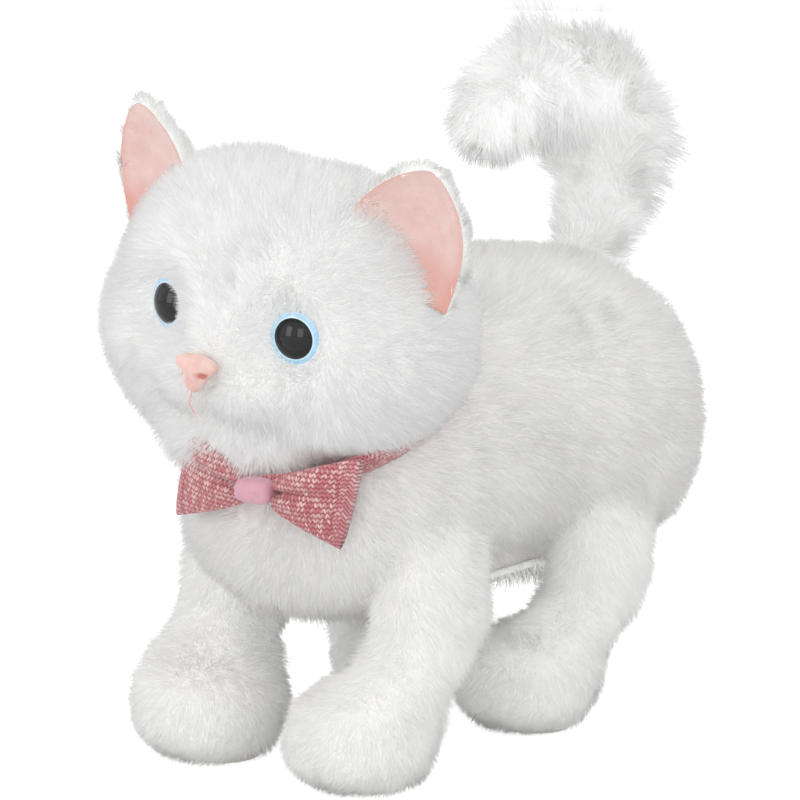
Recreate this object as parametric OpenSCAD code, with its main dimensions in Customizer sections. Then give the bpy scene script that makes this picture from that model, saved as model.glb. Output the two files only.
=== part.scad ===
// Walking plush kitten: a stuffed, furred body around a battery-driven walking mechanism.
// Millimetres. The kitten faces -Y, +X is its left side, +Z is up, and the floor is z = 0.
// The origin is on the floor, midway between the front and back ends and between the two sides.

/* [Torso] */
// largest half width of the rump
rump_half_w = 58; // [50:1:66]
// half width of the chest
chest_half_w = 48.5; // [40:0.5:56]
// height of the back above the floor
back_z = 154; // [140:1:168]

/* [Head] */
// half width of the skull
head_half_w = 58; // [48:1:64]
// front to back radius of the skull
head_half_l = 42; // [36:1:50]
// vertical radius of the skull
head_half_h = 43.5; // [37:1:50]
// turn of the head to its left, in degrees
head_yaw = 0.6; // [-10:0.1:10]
// downward tip of the muzzle, in degrees
head_pitch = 3.9; // [-10:0.1:15]
// sideways tilt of the head, in degrees
head_roll = 8.2; // [-15:0.1:15]
// radius of the round hollow in the torso that the head sits in
dish_r = 53; // [51:0.5:60]

/* [Face] */
// radius of each domed eye
eye_r = 8; // [6:0.25:9]
// sideways distance of each eye from the middle of the face
eye_x = 24.6; // [20:0.2:30]
// width of the moulded nose at its top
nose_w = 15; // [10:0.5:20]

/* [Ears] */
// thickness of the furred back of an ear
ear_back_t = 3; // [2:0.25:5]
// thickness of the velour lining of an ear
ear_lining_t = 1.4; // [0.8:0.1:3]
// depth of the ear's cup
ear_cup = 7; // [3:0.5:12]

/* [Legs] */
// distance of each leg's middle from the centre plane
leg_x = 34; // [32:0.5:38]
// half length of the leg column, front to back
leg_half_y = 22; // [17:0.5:22.5]
// height of the front hip axis
front_hip_z = 72; // [68:0.5:76]
// height of the rear hip axis
rear_hip_z = 75; // [71:0.5:78]
// radius of the hip pins
hip_pin_r = 2.5; // [2:0.1:3.5]
// how far the left rear foot stands ahead of the right one
rear_step = 11; // [0:1:14]
// radius of the flat sole pads
sole_r = 12; // [8:0.5:13]

/* [Tail] */
// radius of the tail's plume at its fullest
plume_r = 23; // [16:0.5:28]
// radius of the ball at the root of the tail
tail_root_r = 14.5; // [11:0.5:17]

/* [Bow and collar] */
// distance from the knot to the outer edge of a loop
bow_reach = 29.5; // [26:1:42]
// half height of a loop at its outer edge
bow_half_h = 13; // [10:0.5:18]
// width of the neck band
band_w = 10; // [6:0.5:14]

/* [Housing] */
// half width of the hard housing inside the torso
housing_half_w = 25; // [24.8:0.1:25.2]
// thickness of the housing's walls
wall = 2; // [1.6:0.1:2.4]
// length of one battery's body
cell_len = 49; // [44:0.5:49.2]
// radius of one battery
cell_r = 7.1; // [6:0.1:7.15]

/* [Drive] */
// gear module
gear_m = 0.8; // [0.7:0.02:0.82]
// throw of the cranks that swing the rear legs
crank_throw = 2; // [1.4:0.1:2.2]
// distance from each hip axis up to the crank axis
crank_up = 12; // [11.5:0.1:12.5]
// distance from each hip axis up to the link pin
link_up = 20.5; // [20.3:0.1:21]
// radial clearance of turning pins in their bores
run_gap = 0.05; // [0.02:0.01:0.1]

/* [Hidden] */
$fn = 48;
soft_n = 24;
front_hip = [-53, front_hip_z];
rear_hip = [43, rear_hip_z];
crank_at = [rear_hip[0], rear_hip[1] + crank_up];
centre_shift = [-3.7, 0.46, 0];
eye_out = 12;
eye_deep = 14;
neck_c = [0, -75, 142];
head_c = [-0.5, -74.8, 142.6];
tail_c = [0, 82, 140];
plate_x0 = 28;
plate_x1 = 31;
teeth_small = 12;
teeth_motor = 10;
teeth_big = 36;
idler_dist = gear_m * (teeth_small + teeth_big) / 2;
motor_dist = gear_m * (teeth_motor + teeth_big) / 2;
idler_at = [crank_at[0] - idler_dist * cos(10), crank_at[1] + idler_dist * sin(10)];
motor_at = [idler_at[0] - motor_dist * cos(10), idler_at[1] - motor_dist * sin(10)];
screw_spots = [[-78, 76], [-24, 96], [60, 103], [58, 69]];
housing_outline = [
  [-86, 68], [-70, 56], [-50, 52], [40, 52], [64, 64],
  [64, 112], [-14, 118], [-30, 104], [-44, 84], [-86, 84]
];

// ---------- helpers ----------

// extrudes a (y, z) outline from x0 to x1
module along_x(x0, x1) {
  translate([x0, 0, 0])
    rotate([90, 0, 90])
      linear_extrude(x1 - x0)
        children();
}

// a round bar along X at (y, z)
module bar_x(x0, x1, at, r) {
  translate([x0, at[0], at[1]])
    rotate([0, 90, 0])
      cylinder(r = r, h = x1 - x0);
}

// colours its children and sets them so that the whole kitten is centred over the origin
module placed(c) {
  translate(centre_shift)
    color(c)
      children();
}

// places its children in the head's own frame
module head_pose() {
  translate(head_c)
    rotate([0, 0, head_yaw])
      rotate([head_pitch, 0, 0])
        rotate([0, head_roll, 0])
          children();
}

function signed_pow(a, p) = sign(a) * pow(abs(a), p);

// one closed section: centre c, half vectors a (sideways), b (up side) and d (down side)
function section(s, n, p) = [
  for (i = [0 : n - 1])
    let (t = 360 * i / n, u = signed_pow(cos(t), 2 / p), v = signed_pow(sin(t), 2 / p))
      s[0] + s[1] * u + (v >= 0 ? s[2] : s[3]) * abs(v)
];

function loft_faces(m, n) = concat(
  [[for (i = [0 : n - 1]) i]],
  [[for (i = [n - 1 : -1 : 0]) (m - 1) * n + i]],
  [
    for (k = [0 : m - 2], i = [0 : n - 1])
      [k * n + i, (k + 1) * n + i, k * n + (i + 1) % n]
  ],
  [
    for (k = [0 : m - 2], i = [0 : n - 1])
      [k * n + (i + 1) % n, (k + 1) * n + i, (k + 1) * n + (i + 1) % n]
  ]
);

// a smooth solid through a list of sections
module loft(stations, n = 20, p = 2.2) {
  points = [for (s = stations) each section(s, n, p)];
  polyhedron(points = points, faces = loft_faces(len(stations), n), convexity = 6);
}

// blend of ellipsoids [centre, radii] seen from one inner point
function form_sum(forms, q) = [
  for (f = forms)
    let (w = q - f[0])
      exp(9 * (1 - norm([w[0] / f[1][0], w[1] / f[1][1], w[2] / f[1][2]])))
];
function total(v, i = 0) = i >= len(v) ? 0 : v[i] + total(v, i + 1);
function reach(forms, from, dir, lo, hi, k) =
  k == 0 ? (lo + hi) / 2 :
  let (mid = (lo + hi) / 2)
    total(form_sum(forms, from + dir * mid)) > 1
      ? reach(forms, from, dir, mid, hi, k - 1)
      : reach(forms, from, dir, lo, mid, k - 1);
function ring_of(forms, from, pol, n) = [
  for (i = [0 : n - 1])
    let (t = 360 * i / n, dir = [cos(t) * sin(pol), sin(t) * sin(pol), cos(pol)])
      from + dir * reach(forms, from, dir, 0, 110, 15)
];

// a smooth closed ball through a blend of ellipsoids
module blend_ball(forms, from = [0, 0, 0], n = 24, m = 16) {
  points = [for (k = [1 : m - 1]) each ring_of(forms, from, 180 * k / m, n)];
  polyhedron(points = points, faces = [for (f = loft_faces(m - 1, n)) [for (i = [len(f) - 1 : -1 : 0]) f[i]]]);
}

// outline of a spur gear centred on the origin, with one tooth at angle turn
module gear_outline(teeth, turn) {
  r = gear_m * teeth / 2;
  pitch = 360 / teeth;
  rotate(turn) {
    circle(r = r - 1.25 * gear_m);
    for (i = [0 : teeth - 1])
      rotate(i * pitch)
        polygon([
          [(r - 1.35 * gear_m) * cos(0.27 * pitch), -(r - 1.35 * gear_m) * sin(0.27 * pitch)],
          [r * cos(0.185 * pitch), -r * sin(0.185 * pitch)],
          [(r + 0.85 * gear_m) * cos(0.08 * pitch), -(r + 0.85 * gear_m) * sin(0.08 * pitch)],
          [(r + 0.85 * gear_m) * cos(0.08 * pitch), (r + 0.85 * gear_m) * sin(0.08 * pitch)],
          [r * cos(0.185 * pitch), r * sin(0.185 * pitch)],
          [(r - 1.35 * gear_m) * cos(0.27 * pitch), (r - 1.35 * gear_m) * sin(0.27 * pitch)]
        ]);
  }
}

// ---------- torso ----------

function torso_station(y, zc, hw, rise, drop) =
  [[0, y, zc], [-hw, 0, 0], [0, 0, rise], [0, 0, -drop]];

module torso_form() {
  k = rump_half_w / 58;
  c = chest_half_w / 48.5;
  h = back_z - 154;
  loft([
    torso_station(-98.5, 86, 9 * c, 9, 9),
    torso_station(-94, 86, 24 * c, 23, 22),
    torso_station(-85, 86, 37 * c, 37, 33),
    torso_station(-70, 87, 45 * c, 44, 38),
    torso_station(-52, 89, chest_half_w, 48, 40),
    torso_station(-30, 93, 48 * c, 51 + h / 2, 41),
    torso_station(-8, 98, 48.5 * k, 52 + h, 44),
    torso_station(14, 100, 51 * k, 53 + h, 45),
    torso_station(34, 100, 55.5 * k, 54 + h, 48),
    torso_station(52, 98, rump_half_w, 54.5 + h, 50),
    torso_station(70, 97, 56 * k, 52 + h, 50),
    torso_station(84, 95, 49 * k, 46 + h / 2, 44),
    torso_station(95, 93, 36 * k, 35, 34),
    torso_station(101, 92, 19 * k, 20, 20),
    torso_station(102.5, 92, 8 * k, 8, 8)
  ], soft_n, 2.15);
}

// the room a swinging leg needs, cut from one side
module leg_well(hip) {
  along_x(housing_half_w + 0.2, 80)
    translate(hip) {
      circle(r = link_up + 4.2);
      for (a = [-22, -10, 2])
        rotate(a)
          translate([-leg_half_y - 1.4, -70])
            square([2 * leg_half_y + 2.8, 70]);
    }
}

// strip on the ball around the neck, from radius r0 to r1
module neck_strip(r0, r1, half_w) {
  mid = 54;
  lo = mid - half_w;
  hi = mid + half_w;
  translate(neck_c)
    rotate([23.4, 0, 0])
      rotate_extrude($fn = 72)
        polygon([
          [r0 * sin(lo), -r0 * cos(lo)],
          [r1 * sin(lo), -r1 * cos(lo)],
          [r1 * sin(mid) + 0.3, -r1 * cos(mid) - 0.3],
          [r1 * sin(hi), -r1 * cos(hi)],
          [r0 * sin(hi), -r0 * cos(hi)],
          [r0 * sin(mid), -r0 * cos(mid)]
        ]);
}

module torso_plush() {
  placed([0.95, 0.95, 0.94])
    difference() {
      torso_form();
      translate(neck_c)
        sphere(r = dish_r, $fn = 56);
      for (s = [0, 1])
        mirror([s, 0, 0]) {
          leg_well(front_hip);
          leg_well(rear_hip);
          translate([housing_half_w + 0.2, -53, front_hip_z + link_up - 5])
            cube([3.2, 96, 13]);
        }
      along_x(-housing_half_w - 0.2, housing_half_w + 0.2)
        offset(delta = 0.2)
          polygon(housing_outline);
      translate([-housing_half_w - 0.2, -48, 30])
        cube([2 * housing_half_w + 0.4, 88, 24]);
      translate([0, neck_c[1], 60])
        cylinder(r = 5.5, h = 60);
      translate([0, neck_c[1], 83])
        cylinder(r = 9.4, h = 3.3);
      neck_strip(dish_r - 1, dish_r + 2.4, band_w / 2 + 0.3);
      translate(tail_c)
        sphere(r = tail_root_r + 0.8, $fn = 40);
      translate([-6.5, 58, 100])
        cube([13, 13, 47]);
    }
}

// ---------- housing ----------

module housing_half() {
  difference() {
    union() {
      difference() {
        along_x(0, housing_half_w)
          polygon(housing_outline);
        along_x(-1, housing_half_w - wall)
          offset(delta = -wall)
            polygon(housing_outline);
      }
      intersection() {
        along_x(0, housing_half_w - 0.5)
          polygon(housing_outline);
        for (s = screw_spots)
          bar_x(0, housing_half_w - 1, s, 3.5);
      }
      bar_x(17, housing_half_w - 1, front_hip, 5);
      bar_x(17, housing_half_w - 1, rear_hip, 5);
      bar_x(19, housing_half_w - 1, crank_at, 4.5);
      bar_x(20, housing_half_w - 1, idler_at, 3.5);
    }
    bar_x(16, 30, front_hip, hip_pin_r + 0.01);
    bar_x(16, 30, rear_hip, hip_pin_r + 0.01);
    bar_x(18, 30, crank_at, 2 + run_gap);
    bar_x(19, housing_half_w - wall + 0.5, idler_at, 1.51);
    translate([-1, -24.3, 50])
      cube([23.6, 58.6, 5]);
    translate([-1, -39.8, 50])
      cube([5.2, 3.6, 5]);
    translate([9, -42, 50])
      cylinder(r = 1.3, h = 8);
    for (p = [[4, 41], [4, 35], [4, 47], [10, 38], [10, 44]])
      translate([p[0], p[1], 105])
        cylinder(r = 1.3, h = 15);
  }
}

module housing_left() {
  placed([0.82, 0.82, 0.8])
    difference() {
      housing_half();
      for (s = screw_spots) {
        bar_x(-1, 30, s, 1.3);
        bar_x(22.5, 30, s, 2.3);
      }
    }
}

module housing_right() {
  placed([0.82, 0.82, 0.8])
    mirror([1, 0, 0])
      difference() {
        housing_half();
        for (s = screw_spots)
          bar_x(-1, 14, s, 1.12);
      }
}

module housing_screws() {
  placed([0.7, 0.7, 0.72])
    for (s = screw_spots)
      difference() {
        union() {
          bar_x(-12, 22.6, s, 1.1);
          bar_x(22.6, 24.4, s, 2.1);
        }
        translate([24, s[0] - 0.3, s[1] - 1.4])
          cube([1, 0.6, 2.8]);
      }
}

module cell(x) {
  placed([0.2, 0.45, 0.3])
    translate([x, -19.5, 61.8])
      rotate([-90, 0, 0]) {
        cylinder(r = cell_r, h = cell_len);
        translate([0, 0, cell_len])
          cylinder(r = 2.7, h = 1.2);
      }
}

module battery_left() {
  cell(14.5);
}

module battery_middle() {
  cell(0);
}

module battery_right() {
  cell(-14.5);
}

module battery_contacts() {
  placed([0.75, 0.75, 0.78])
    for (x = [-14.5, 0, 14.5]) {
      translate([x - 5, 31.4, 56])
        cube([10, 0.5, 11.5]);
      translate([x, -22.4, 61.8])
        rotate([-90, 0, 0])
          cylinder(r1 = 4.6, r2 = 3.2, h = 2.7);
    }
}

module battery_tray() {
  placed([0.3, 0.3, 0.32])
    difference() {
      translate([-22.6, -24, 69.1])
        cube([45.2, 57.6, 1.4]);
      translate([0, -14, 68])
        cylinder(r = 3, h = 4);
    }
}

module battery_cover() {
  placed([0.78, 0.78, 0.76])
    difference() {
      union() {
        translate([-22.2, -24, 51.6])
          cube([44.4, 58, 2.2]);
        translate([-24.2, -26, 50])
          cube([48.4, 62, 1.8]);
        for (i = [0 : 4])
          translate([-6, 22 + 2.4 * i, 49.5])
            cube([12, 1, 0.8]);
      }
      translate([0, -21.5, 49])
        cylinder(r = 1.3, h = 6);
      translate([0, -21.5, 49])
        cylinder(r = 2.4, h = 2);
    }
}

module cover_screw() {
  placed([0.7, 0.7, 0.72])
    difference() {
      union() {
        translate([0, -21.5, 50.2])
          cylinder(r = 2.2, h = 0.79);
        translate([0, -21.5, 50.9])
          cylinder(r = 1.2, h = 5.1);
      }
      translate([-1.6, -21.8, 49.9])
        cube([3.2, 0.6, 0.7]);
    }
}

module switch_body() {
  placed([0.15, 0.15, 0.16])
    difference() {
      translate([-9, -43, 54.1])
        cube([18, 10, 6]);
      translate([-4.3, -39.9, 54])
        cube([8.6, 3.8, 2.6]);
    }
}

module switch_knob() {
  placed([0.1, 0.1, 0.11])
    union() {
      translate([-3.6, -39.5, 51.6])
        cube([3.2, 3, 4.8]);
      translate([-6.2, -41, 49.8])
        cube([8.4, 6, 1.9]);
      for (i = [0 : 2])
        translate([-4.6 + 2 * i, -41, 49.2])
          cube([1, 6, 0.7]);
    }
}

module control_board() {
  placed([0.1, 0.4, 0.2])
    union() {
      translate([-20, -15, 73])
        cube([40, 1.6, 26]);
      translate([-9, -17, 80])
        cube([11, 2.1, 11]);
      translate([8, -19, 78])
        cube([5, 4.1, 8]);
      translate([-17, -20, 92])
        cube([9, 5.1, 5]);
    }
}

module speaker() {
  placed([0.2, 0.2, 0.22])
    union() {
      translate([0, 41, 107.5])
        cylinder(r = 12.5, h = 2);
      translate([0, 41, 105])
        cylinder(r = 6, h = 2.6);
    }
}

// ---------- drive ----------

module motor_cradle() {
  placed([0.35, 0.35, 0.37])
    along_x(-14, 2)
      union() {
        translate([motor_at[0] - 12, 70.6])
          square([24, motor_at[1] - 7.6 - 70.6]);
        translate([motor_at[0] - 12, 70.6])
          square([1.8, 20]);
        translate([motor_at[0] + 10.2, 70.6])
          square([1.8, 12]);
      }
}

module motor_can() {
  placed([0.7, 0.7, 0.72])
    difference() {
      union() {
        along_x(-18, 7)
          translate(motor_at)
            intersection() {
              circle(r = 10);
              square([20, 15], center = true);
            }
        bar_x(6.9, 8.4, motor_at, 3);
        bar_x(-19.5, -17.9, motor_at, 3);
      }
      bar_x(3, 9, motor_at, 1 + run_gap);
    }
}

module motor_pinion() {
  placed([0.85, 0.7, 0.35])
    union() {
      along_x(9, 14)
        translate(motor_at)
          gear_outline(teeth_motor, 10);
      bar_x(3.5, 15, motor_at, 1);
    }
}

module idler_pin() {
  placed([0.75, 0.75, 0.78])
    bar_x(-housing_half_w + wall - 0.3, housing_half_w - wall + 0.3, idler_at, 1.5);
}

module idler_gear() {
  placed([0.9, 0.9, 0.86])
    difference() {
      union() {
        along_x(9.5, 13.5)
          translate(idler_at)
            gear_outline(teeth_big, 190 + 180 / teeth_big);
        along_x(2, 9.6)
          translate(idler_at)
            gear_outline(teeth_small, -10);
        bar_x(13.4, 16, idler_at, 3.5);
      }
      bar_x(0, 20, idler_at, 1.5 + run_gap);
    }
}

module crank_gear() {
  placed([0.9, 0.9, 0.86])
    difference() {
      union() {
        along_x(2.5, 7)
          translate(crank_at)
            gear_outline(teeth_big, 170 + 180 / teeth_big);
        bar_x(-1, 2.6, crank_at, 4.5);
      }
      bar_x(-2, 9, crank_at, 2.01);
    }
}

module crank_axle() {
  placed([0.75, 0.75, 0.78])
    bar_x(-27.4, 27.4, crank_at, 2);
}

module crank_discs() {
  placed([0.9, 0.9, 0.86])
    for (s = [-1, 1])
      difference() {
        union() {
          bar_x(s > 0 ? 25.5 : -27.6, s > 0 ? 27.6 : -25.5, crank_at, 4.3);
          bar_x(s > 0 ? 27.5 : -30.8, s > 0 ? 30.8 : -27.5,
            [crank_at[0], crank_at[1] + s * crank_throw], 1.2);
        }
        bar_x(s > 0 ? 25 : -27.45, s > 0 ? 27.45 : -25, crank_at, 2.01);
      }
}

// ---------- legs ----------

// hard frame of one leg on the left side: hub, lever, shin bar and foot plate
module leg_frame(hip, shin, driven) {
  foot = hip + shin;
  lean = atan2(shin[0], -shin[1]);
  difference() {
    union() {
      along_x(plate_x0, plate_x1)
        difference() {
          union() {
            translate(hip)
              circle(r = 6);
            translate([hip[0] - 2.5, hip[1]])
              square([5, link_up]);
            translate([hip[0], hip[1] + link_up])
              circle(r = 3.1);
            if (driven)
              translate([hip[0] - 7.9, hip[1] + crank_up - 6])
                square([15.8, 12]);
            translate(hip)
              rotate(lean)
                translate([-5, -norm(shin)])
                  square([10, norm(shin)]);
          }
          if (driven)
            translate([hip[0] - 5.9, hip[1] + crank_up - 4.1])
              square([11.8, 8.2]);
        }
      along_x(housing_half_w + 0.3, plate_x0 + 0.1)
        translate(hip)
          circle(r = 5.4);
      bar_x(housing_half_w + 0.8, plate_x0 + 0.1, [hip[0], hip[1] + link_up], 1.8);
      translate([plate_x0 - 6, foot[0] - 9, foot[1] - 4])
        cube([18, 18, 3.2]);
    }
    bar_x(20, 40, hip, hip_pin_r + run_gap);
  }
}

// soft leg of the left side around that frame; foot_y is the foot's middle and lift its rise
module leg_plush(hip, shin, foot_y, lift) {
  foot = hip + shin;
  lean = atan2(shin[0], -shin[1]);
  h = leg_half_y / 22;
  base = lift + 1.6;
  mid_y = hip[0] + (foot_y - hip[0]) * 0.22;
  function st(z, y, hy, xa, xb) =
    [[(xa + xb) / 2, y, z], [0, -hy, 0], [(xb - xa) / 2, 0, 0], [-(xb - xa) / 2, 0, 0]];
  difference() {
    loft([
      st(base, foot_y + 4, 13, foot_x - 13, foot_x + 13),
      st(base + 4, foot_y + 1.5, 20, foot_x - 17.5, foot_x + 18),
      st(base + 10, foot_y - 1, 25, foot_x - 20, foot_x + 21.5),
      st(base + 18, foot_y, 26.5, foot_x - 20, foot_x + 22.5),
      st(base + 26, foot_y + 2, 25.5 * h, foot_x - 16, foot_x + 22.5),
      st(base + 33, (foot_y + mid_y) / 2 + 1, 23 * h, leg_x - 10, leg_x + 18.5),
      st(44, mid_y, leg_half_y, leg_x - 7.5, leg_x + 18.5),
      st(56, mid_y + (hip[0] - mid_y) * 0.6, leg_half_y, leg_x - 7.5, leg_x + 18),
      st(hip[1], hip[0], leg_half_y, leg_x - 7.5, leg_x + 15.5),
      st(hip[1] + 10, hip[0], leg_half_y * 0.88, leg_x - 6, leg_x + 13.5),
      st(hip[1] + 18, hip[0], leg_half_y * 0.56, leg_x - 4, leg_x + 11),
      st(hip[1] + 21.5, hip[0], leg_half_y * 0.22, leg_x, leg_x + 8)
    ], 20, 2.3);
    bar_x(20, 33.2, hip, link_up + 4.2);
    along_x(plate_x0 - 0.2, plate_x1 + 0.2)
      translate(hip)
        rotate(lean)
          translate([-5.2, -norm(shin) - 0.2])
            square([10.4, norm(shin)]);
    translate([plate_x0 - 6.2, foot[0] - 9.2, foot[1] - 4.2])
      cube([18.4, 18.4, 3.6]);
  }
}

// shin vectors (y, z) from each hip to its foot plate
front_shin = [-22, -51];
rear_shin = [-14, -54];
step_shin = [-14 - rear_step * 0.8, -50];
foot_x = 29.5;
front_foot_y = -79;
rear_foot_y = 21;

module front_left_frame() {
  placed([0.3, 0.3, 0.32])
    leg_frame(front_hip, front_shin, false);
}

module front_left_leg() {
  placed([0.95, 0.95, 0.94])
    leg_plush(front_hip, front_shin, front_foot_y, 0);
}

module front_right_frame() {
  placed([0.3, 0.3, 0.32])
    mirror([1, 0, 0])
      leg_frame(front_hip, front_shin, false);
}

module front_right_leg() {
  placed([0.95, 0.95, 0.94])
    mirror([1, 0, 0])
      leg_plush(front_hip, front_shin, front_foot_y, 0);
}

module rear_left_frame() {
  placed([0.3, 0.3, 0.32])
    leg_frame(rear_hip, step_shin, true);
}

module rear_left_leg() {
  placed([0.95, 0.95, 0.94])
    leg_plush(rear_hip, step_shin, rear_foot_y - rear_step, 0);
}

module rear_right_frame() {
  placed([0.3, 0.3, 0.32])
    mirror([1, 0, 0])
      leg_frame(rear_hip, rear_shin, true);
}

module rear_right_leg() {
  placed([0.95, 0.95, 0.94])
    mirror([1, 0, 0])
      leg_plush(rear_hip, rear_shin, rear_foot_y, 0);
}

module sole(x, y, z) {
  placed([0.85, 0.8, 0.78])
    translate([x, y, z])
      cylinder(r = sole_r, h = 1.6);
}

module front_left_sole() {
  sole(foot_x, front_foot_y + 4, 0);
}

module front_right_sole() {
  sole(-foot_x, front_foot_y + 4, 0);
}

module rear_left_sole() {
  sole(foot_x, rear_foot_y - rear_step + 4, 0);
}

module rear_right_sole() {
  sole(-foot_x, rear_foot_y + 4, 0);
}

module hip_pin(hip) {
  bar_x(17, 31.2, hip, hip_pin_r);
  bar_x(31.15, 32.8, hip, 4.5);
}

module front_hip_pins() {
  placed([0.75, 0.75, 0.78])
    for (s = [0, 1])
      mirror([s, 0, 0])
        hip_pin(front_hip);
}

module rear_hip_pins() {
  placed([0.75, 0.75, 0.78])
    for (s = [0, 1])
      mirror([s, 0, 0])
        hip_pin(rear_hip);
}

module link_rod() {
  run = rear_hip - front_hip;
  along_x(housing_half_w + 0.7, plate_x0 - 0.4)
    translate(front_hip + [0, link_up])
      rotate(atan2(run[1], run[0]))
        difference() {
          union() {
            circle(r = 3.2);
            translate([norm(run), 0])
              circle(r = 3.2);
            translate([0, -2.2])
              square([norm(run), 4.4]);
          }
          circle(r = 2.2);
          translate([norm(run), 0])
            circle(r = 1.8 + run_gap);
        }
}

module left_link() {
  placed([0.3, 0.3, 0.32])
    link_rod();
}

module right_link() {
  placed([0.3, 0.3, 0.32])
    mirror([1, 0, 0])
      link_rod();
}

// ---------- neck ----------

module neck_post() {
  placed([0.3, 0.3, 0.32])
    union() {
      translate([0, neck_c[1], 84])
        cylinder(r = 9, h = 2);
      translate([0, neck_c[1], 85.9])
        cylinder(r = 5, h = 42.1);
      translate([0, neck_c[1], 127.9])
        cylinder(r = 3, h = 10.5);
    }
}

module neck_yoke() {
  placed([0.35, 0.35, 0.37])
    difference() {
      union() {
        translate([0, neck_c[1], 128.3])
          cylinder(r = 7.5, h = 19);
        bar_x(-12.4, 12.4, [neck_c[1], neck_c[2]], 2.5);
      }
      translate([0, neck_c[1], 127])
        cylinder(r = 3 + run_gap, h = 11.6);
    }
}

module head_frame() {
  placed([0.3, 0.3, 0.32])
    union() {
      for (s = [0, 1])
        mirror([s, 0, 0])
          along_x(8.2, 12.2)
            difference() {
              union() {
                translate([neck_c[1], neck_c[2]])
                  circle(r = 5.5);
                translate([neck_c[1] - 5.5, neck_c[2]])
                  square([11, 12.5]);
              }
              translate([neck_c[1], neck_c[2]])
                circle(r = 2.5 + run_gap);
            }
      translate([0, neck_c[1], neck_c[2] + 12])
        cylinder(r = 21, h = 3);
    }
}

// ---------- head ----------

head_forms = [
  [[0, 2, 2], [head_half_w, head_half_l, head_half_h]],
  [[-28, -3, -9], [31, 32, 29]],
  [[28, -3, -9], [31, 32, 29]],
  [[-18, -6, 21], [27, 29, 26]],
  [[18, -6, 21], [27, 29, 26]],
  [[-9.5, -31, -15.5], [13, 11.5, 10.5]],
  [[9.5, -31, -15.5], [13, 11.5, 10.5]],
  [[0, -24, -27], [14, 13, 10]],
  [[0, -30, -6], [11, 11, 11]]
];

// places its children at one eye, looking along +Z of the child
module at_eye(s) {
  head_pose()
    translate([s * eye_x, -27.8, 3.7])
      rotate([0, 0, s * eye_out])
        rotate([90, 0, 0])
          children();
}

module nose_form(grow) {
  hull() {
    for (s = [-1, 1])
      translate([s * (nose_w / 2 - 3.2), 0, 2.4])
        sphere(r = 3.2 + grow, $fn = 24);
    translate([0, -0.6, -4])
      sphere(r = 2.6 + grow, $fn = 24);
    translate([0, -1.8, 1.5])
      sphere(r = 2.8 + grow, $fn = 24);
  }
}

module at_nose() {
  head_pose()
    translate([-0.8, -42.6, -9.2])
      children();
}

// the room under the cheeks that the collar needs while the head turns
module chin_clearance() {
  r = dish_r - 0.5;
  translate(neck_c)
    rotate([23.4, 0, 0])
      rotate_extrude($fn = 72)
        polygon(concat(
          [for (a = [0 : 6 : 72]) [r * sin(a), -r * cos(a)]],
          [[(r + 16) * sin(75), -(r + 16) * cos(75)], [(r + 16) * sin(37), -r - 16], [0, -r - 16]]
        ));
}

module head_plush() {
  placed([0.95, 0.95, 0.94])
    difference() {
      head_pose()
        blend_ball(head_forms, [0, -4, -2], 26, 18);
      chin_clearance();
      translate([0, neck_c[1], 60])
        cylinder(r = 17.5, h = 97.3);
      translate([0, neck_c[1], neck_c[2] + 11.8])
        cylinder(r = 21.3, h = 3.4);
      for (s = [-1, 1])
        at_eye(s) {
          cylinder(r = eye_r + 0.2, h = 20);
          translate([0, 0, -9.4])
            cylinder(r = 6.9, h = 9.5);
        }
      at_nose() {
        nose_form(0.3);
        rotate([-90, 0, 0])
          cylinder(r = 4.8, h = 11.2);
      }
    }
}

module eye() {
  union() {
    intersection() {
      translate([0, 0, -eye_deep])
        sphere(r = norm([eye_r, eye_deep]), $fn = 96);
      cylinder(r = eye_r, h = 12);
    }
    translate([0, 0, -8.6])
      cylinder(r = 1.8, h = 8.8);
  }
}

module eye_left() {
  placed([0.55, 0.75, 0.9])
    at_eye(1)
      eye();
}

module eye_right() {
  placed([0.55, 0.75, 0.9])
    at_eye(-1)
      eye();
}

module eye_washers() {
  placed([0.9, 0.9, 0.88])
    for (s = [-1, 1])
      at_eye(s)
        difference() {
          translate([0, 0, -6.4])
            cylinder(r = 6.5, h = 1.4);
          translate([0, 0, -7])
            cylinder(r = 1.85, h = 3);
        }
}

module nose() {
  placed([0.95, 0.68, 0.63])
    at_nose()
      union() {
        nose_form(0);
        rotate([-90, 0, 0])
          cylinder(r = 1.8, h = 10.8, $fn = 24);
      }
}

module nose_washer() {
  placed([0.9, 0.9, 0.88])
    at_nose()
      rotate([-90, 0, 0])
        difference() {
          translate([0, 0, 8])
            cylinder(r = 4.6, h = 1.4);
          translate([0, 0, 7])
            cylinder(r = 1.9, h = 3);
        }
}

module mouth_thread() {
  placed([0.9, 0.6, 0.6])
    head_pose()
      loft([
        for (k = [0 : 6])
          let (t = k / 6)
            [[0, -42.3 + 1.5 * t + 3.5 * t * t, -15.2 - 8 * t], [-0.7, 0, 0], [0, 0.7, 0], [0, -0.7, 0]]
      ], 13, 2);
}

// ---------- ears ----------

// one point of an ear sheet: u runs across from -1 to 1, v from the base to the tip
function ear_point(s, u, v, back) =
  let (
    base = [s * 44.6, -11, 25.5],
    side = [s * 17.5, 5.5, -5],
    tip = [s * 55.7, -12.1, 57.5],
    w = pow(1 - pow(max(0, min(1, v)), 2.4), 0.75),
    face = [s * 0.28, -0.93, -0.2]
  )
    base + (tip - base) * v + side * u * w - face * (ear_cup * (1 - u * u) * w + back);

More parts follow.
